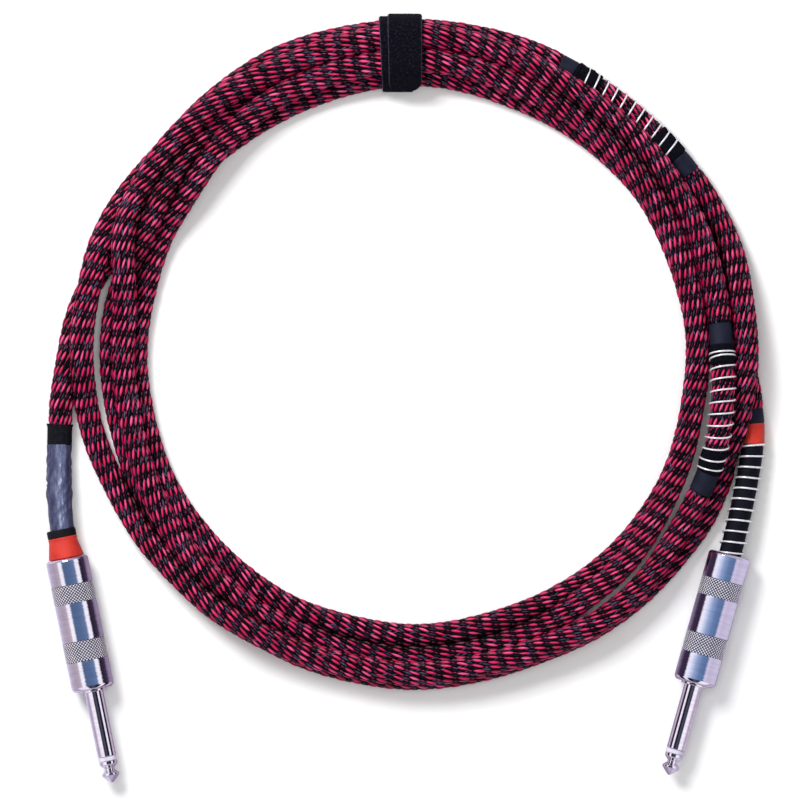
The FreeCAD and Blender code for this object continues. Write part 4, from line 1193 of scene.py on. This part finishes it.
def loose_fibres(random, points, normals, low, high, travel):
    """Short bent fibres on the outer face and along the edges, and how pale each vertex is."""
    count = int(travel[-1] * 30)
    where = random.uniform(0.4, travel[-1] - 0.4, count)
    width = np.where(random.random(count) < 0.25,
                     random.choice([-1, 1], count) * random.uniform(0.96, 1.02, count),
                     random.uniform(-0.97, 0.97, count))

    def here(values):
        return np.interp(where, travel, values)
    y, z, normal_y, normal_z = map(here, (*points.T, *normals.T))
    left, right = here(low), here(high)
    lift = STRAP_THICKNESS * 0.46
    root = np.stack([(left + right) / 2 + (right - left) / 2 * width,
                     y + normal_y * lift, z + normal_z * lift], 1)
    at_edge = np.abs(width) > 0.9
    share = np.where(at_edge, 0.5, 1)
    normal = unit(np.stack([np.where(at_edge, np.sign(width), 0), normal_y * share,
                            normal_z * share], 1))
    lean = random.normal(0, 1, (count, 3))
    lean = unit(lean - (lean * normal).sum(1)[:, None] * normal)
    side = np.cross(normal, lean)
    length = random.uniform(0.25, 0.55, count)[:, None]
    rows = []
    for t, thickness in ((0, 0.05), (0.4, 0.045), (0.75, 0.035), (1.0, 0.008)):
        middle = root + normal * length * (0.55 * t - 0.30 * t * t)
        middle = middle + lean * length * (0.25 * t + 0.75 * t * t)
        rows.append(np.stack([middle - side * thickness / 2, middle + side * thickness / 2], 1))
    verts = np.stack(rows, 1).reshape(-1, 3)
    verts[:, 2] = np.maximum(verts[:, 2], 0.02)
    faces = (grid_faces(4, 2)[None] + (np.arange(count) * 8)[:, None, None]).reshape(-1, 4)
    uv = np.repeat(random.uniform(0, 9, (count, 2)), 8, 0)
    return (verts, faces, uv), np.repeat(random.uniform(0.0, 0.5, count), 8)


def webbing(points, normals, low, high, seed, corners=()):
    """Napped webbing along (y, z) points, from x = low to x = high, with rounded edges.

    corners: corner radii at its start and end; without them the webbing is a closed loop.
    """
    random = np.random.default_rng(seed)
    rows = len(points)
    across = np.linspace(-1, 1, 34)
    edge = np.sqrt(1 - np.clip((np.abs(across) - 0.90) / 0.10, 0, 1) ** 2)
    under = np.stack([across[::-1], -edge[::-1]], 1)[1:-1]
    ring = np.vstack([np.stack([across, edge], 1), under])
    columns = len(ring)
    travel = np.r_[0, np.cumsum(np.linalg.norm(np.diff(points, axis=0), axis=1))]
    total = travel[-1]
    taper = np.ones(rows)
    inset = np.zeros((rows, 2))
    for corner, distance in zip(corners, (travel, total - travel)):
        taper *= np.sqrt(1 - np.clip(1 - distance / 0.6, 0, 1) ** 2 * 0.96)
        turn = np.clip(1 - distance / corner, 0, 1)
        inset += (corner * (1 - np.sqrt(1 - turn**2)))[:, None] * np.array([0.45, 1.0])
    low, high = low + inset[:, 0], high - inset[:, 1]
    x = (low + high)[:, None] / 2 + (high - low)[:, None] / 2 * ring[None, :, 0]
    height = STRAP_THICKNESS / 2 * ring[None, :, 1] * taper[:, None]
    lengthwise = travel[:, None] + 0 * x
    waves = zip(random.uniform(1.5, 9, 9), random.uniform(-9, 9, 9), random.uniform(0, 6.28, 9))
    nap = sum(np.sin(lengthwise * a + x * b + phase) for a, b, phase in waves) / 9
    nap += random.normal(0, 0.35, x.shape) * 0.35
    height = height + np.sign(ring[None, :, 1] + 1e-9) * nap * 0.12
    x = x + np.where(np.abs(ring[None, :, 0]) > 0.97, nap * 0.10, 0)
    verts = np.stack([x, points[:, None, 0] + normals[:, None, 0] * height,
                      points[:, None, 1] + normals[:, None, 1] * height], -1)
    verts[..., 2] = np.maximum(verts[..., 2], 0.03)
    uv = np.stack([x, lengthwise], -1).reshape(-1, 2) / 10
    if corners:
        faces = grid_faces(rows, columns, wrap=True)
        i = np.arange((columns + 2) // 2 - 1)
        cap = np.stack([i, i + 1, (columns - i - 1) % columns, (columns - i) % columns], 1)
        faces = np.vstack([faces, cap, (cap + (rows - 1) * columns)[:, ::-1]])
    else:
        verts = np.concatenate([verts, verts[:1]])
        uv = np.concatenate([uv, uv[:columns] + [0, total / 10]])
        faces = grid_faces(rows + 1, columns, wrap=True)
    selvedge = np.tile(np.clip((np.abs(ring[:, 0]) - 0.93) / 0.05, 0, 1), len(verts))
    fibres, fibre_pale = loose_fibres(random, points, normals, low, high, travel)
    verts, faces, uv = join([(verts.reshape(-1, 3), faces, uv), fibres])
    return (to_scene(verts), faces, uv), {"pale": np.r_[selvedge, fibre_pale]}


def drift(points):
    """0 to 1 outward across the bundle; the -X edge drifts with it."""
    return np.clip((points[:, 0] - 92) / 22, 0, 1)


line, normals = smooth_line(*wrap_line(4.52), closed=True)
mesh, attributes = webbing(line, normals, -11.15 - 1.15 * drift(line), -0.6, seed=21)
add("strap_under", mesh, "strap_nap", "strap", "coil", "strap_loop", attributes)

line, normals = wrap_line(5.87)
over = (line[:, 1] > 8.0) & (line[:, 0] > 90.5)
line, normals = smooth_line(line[over], normals[over], closed=False)
mesh, attributes = webbing(line, normals, -8.85 - 0.5 * drift(line), 2.36, seed=22,
                           corners=(1.6, 5.5))
add("strap_outer", mesh, "strap_nap", "strap", "strap_flap", "strap_flap", attributes)

# ---------------------------------------------------------------- CAD nodes kept as they are
KEPT = {
    "coil_outer_jacket": "jacket_rubber",
    "coil_braided_shield": "shield_wire",
    "coil_core_insulation": "core_insulation",
    "coil_centre_conductor": "copper_strand",
}
for side in PLUGS:
    KEPT[side + "_plug_liner"] = "liner_plastic"
    KEPT[side + "_rear_insulator_washer"] = "fibre_washer"
    KEPT[side + "_tip_solder_lug"] = "tinned_lug"
    KEPT[side + "_ground_clamp_lug"] = "tinned_lug"
for node, material in KEPT.items():
    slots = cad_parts[node].data.materials
    slots.clear()
    slots.append(MATERIALS[material])


# ---------------------------------------------------------------- set: floor, lights, reflectors
def floor_material():
    """White paper; in mirror reflections a pale or a dark card, by the side it is seen from."""
    shader = new_material("floor_paper")
    paper = shader.noise(shader.coords("Object"), scale=40)
    white = shader.ramp(paper, [(0.3, (250, 250, 251)), (0.7, (255, 255, 255))])
    incoming = shader.node("NewGeometry", {}, "Incoming")
    position = incoming.node.outputs["Position"]
    view_x = shader.node("SeparateXYZ", {0: incoming}, "X")
    side = shader.math("SIGN", shader.node("SeparateXYZ", {0: position}, "X"))
    outward = shader.remap(shader.math("MULTIPLY", side, view_x), 0.0, 1.0, -0.3, 0.3)
    card = shader.ramp(outward, [(0.2, (208, 202, 222)), (0.8, (150, 136, 160))])
    glossy = shader.node("LightPath", {}, "Is Glossy Ray")
    shader.surface("BsdfPrincipled", {
        "Base Color": shader.mix(glossy, white, card),
        "Roughness": 0.9,
        "Specular IOR Level": 0.0,
    })


floor_material()
floor_corners = np.array([[-3, -3, 0], [3, -3, 0], [3, 3, 0], [-3, 3, 0]], float)
floor_mesh = (floor_corners, np.array([[0, 1, 2, 3]]), None)
make_object("floor", floor_mesh, "floor_paper", smooth=False)


def lamp(name, location, size, power, glossy=False):
    """A square light aimed at the origin: metres and watts; glossy shows it in reflections."""
    light = bpy.data.lights.new(name, "AREA")
    light.energy = power
    light.shape = "RECTANGLE"
    light.size = size
    light.size_y = size
    thing = bpy.data.objects.new(name, light)
    thing.location = location
    thing.rotation_euler = (-Vector(location)).to_track_quat("-Z", "Y").to_euler()
    thing.visible_glossy = glossy
    bpy.context.scene.collection.objects.link(thing)


lamp("key", (-0.55, 0.70, 1.15), size=0.50, power=16.5, glossy=True)
lamp("top", (0.05, 0.0, 1.7), size=0.9, power=8.0)

REFLECTOR_RADIUS = 15.0
# what each part mirrors, seen from above: place across it (1 towards the other plug), colour
CONTACT_CARDS = [
    (0.02, (200, 190, 208)), (0.16, (178, 164, 180)), (0.23, (250, 244, 252)),
    (0.38, (255, 252, 255)), (0.42, (40, 36, 56)), (0.52, (78, 80, 98)), (0.60, (16, 13, 36)),
    (0.655, (22, 18, 40)), (0.68, (255, 250, 255)), (0.75, (250, 244, 252)),
    (0.775, (18, 12, 24)), (0.84, (30, 22, 34)), (0.88, (196, 178, 196)), (0.97, (206, 194, 210)),
]
LEFT_CARDS = [
    (0.02, (204, 198, 222)), (0.08, (188, 176, 192)), (0.16, (176, 163, 176)),
    (0.25, (190, 178, 188)), (0.275, (255, 252, 255)), (0.34, (255, 252, 255)),
    (0.37, (84, 106, 142)), (0.52, (88, 112, 148)), (0.64, (104, 128, 164)),
    (0.675, (252, 250, 255)), (0.745, (250, 248, 255)), (0.77, (38, 30, 50)),
    (0.88, (62, 50, 72)), (0.92, (140, 122, 148)), (0.98, (160, 146, 168)),
]
RIGHT_CARDS = [
    (0.02, (200, 194, 214)), (0.10, (210, 204, 224)), (0.22, (200, 193, 216)),
    (0.30, (214, 209, 230)), (0.345, (92, 118, 158)), (0.46, (104, 132, 172)),
    (0.58, (150, 172, 208)), (0.66, (208, 218, 242)), (0.72, (244, 245, 254)),
    (0.765, (244, 244, 254)), (0.79, (52, 40, 62)), (0.90, (60, 48, 70)),
    (0.95, (122, 106, 132)), (0.98, (150, 138, 162)),
]


def card_u(angle):
    """Reflector angle in degrees to its u."""
    return (angle + 150) / 300


def card_stops(cards, radius):
    """Places across a part of the given radius to the reflector's u they mirror."""
    stops = []
    for place, colour in cards:
        q = 2 * place - 1
        angle = math.degrees(2 * math.asin(q) - math.asin(radius / REFLECTOR_RADIUS * q))
        stops.append((card_u(angle), colour))
    return stops


def reflector(name, side, inner_sign, cards):
    """A card bent over one plug, seen only in mirror reflections.

    inner_sign: the sign of x towards the other plug.
    """
    shader = new_material(name)
    around = shader.node("SeparateXYZ", {0: shader.node("TexCoord", {}, "UV")}, "X")
    along = around.node.outputs["Y"]
    past_handle = shader.math("GREATER_THAN", along, HANDLE_LENGTH / 10)
    colour = shader.mix(past_handle, shader.ramp(around, card_stops(cards, HANDLE_RADIUS)),
                        shader.ramp(around, card_stops(CONTACT_CARDS, CONTACT_RADIUS)))
    shader.surface("Emission", {0: colour, 1: 1.12})

    rear, direction = PLUGS[side]
    degrees = np.linspace(-112, 112, 113)
    angle = np.radians(degrees)[None, :, None]
    ends = np.array([-3.0, 84.0])
    across = np.cross(direction, VERTICAL)
    if across[0] * inner_sign < 0:
        across = -across
    bow = np.sin(angle) * across + np.cos(angle) * VERTICAL
    verts = rear + ends[:, None, None] * direction + REFLECTOR_RADIUS * bow
    uv = np.stack(np.meshgrid(card_u(degrees), ends / 10), -1).reshape(-1, 2)
    mesh = (to_scene(verts), grid_faces(2, len(degrees)), uv)
    thing = make_object(name, mesh, name)
    for ray in ("camera", "diffuse", "shadow", "transmission", "volume_scatter"):
        setattr(thing, "visible_" + ray, False)


reflector("reflector_left", "left", 1, LEFT_CARDS)
reflector("reflector_right", "right", -1, RIGHT_CARDS)


# ---------------------------------------------------------------- world, camera
def studio_world():
    """Even white light; reflections see a sky that darkens towards the middle of Y."""
    world = bpy.data.worlds.new("studio")
    bpy.context.scene.world = world
    world.use_nodes = True
    shader = Shader(world.node_tree)
    nodes = world.node_tree.nodes
    ambient = nodes["Background"]
    ambient.inputs[0].default_value = (1, 1, 1, 1)
    ambient.inputs[1].default_value = 0.40
    view_y = shader.node("SeparateXYZ", {0: shader.node("TexCoord", {}, "Generated")}, "Y")
    edge = (196, 188, 206)
    sky = shader.ramp(shader.remap(view_y, 0.0, 1.0, from_min=-0.30, from_max=0.30),
                      [(0.0, edge), (0.5, (150, 152, 176)), (1.0, edge)])
    mirrored = shader.node("Background", {0: sky, 1: 0.95})
    glossy = shader.node("LightPath", {}, "Is Glossy Ray")
    mixed = shader.node("MixShader", {0: glossy, 1: ambient.outputs[0], 2: mirrored})
    world.node_tree.links.new(mixed, nodes["World Output"].inputs[0])


studio_world()

# metres; the camera looks straight down
CAMERA_HEIGHT = 6.0
VIEW_WIDTH = 0.27304                               # seen at floor height
VIEW_SHIFT = (-0.00512, -0.01468)                  # from the coil's centre
lens = bpy.data.cameras.new("camera")
lens.sensor_width = 36
lens.lens = 36 * CAMERA_HEIGHT / VIEW_WIDTH
lens.clip_end = 50
camera = bpy.data.objects.new("camera", lens)
camera.location = (VIEW_SHIFT[0] + COIL_CENTRE[0] * MM, VIEW_SHIFT[1] + COIL_CENTRE[1] * MM,
                   CAMERA_HEIGHT)
scene = bpy.context.scene
scene.collection.objects.link(camera)
scene.camera = camera
scene.view_settings.view_transform = "Standard"
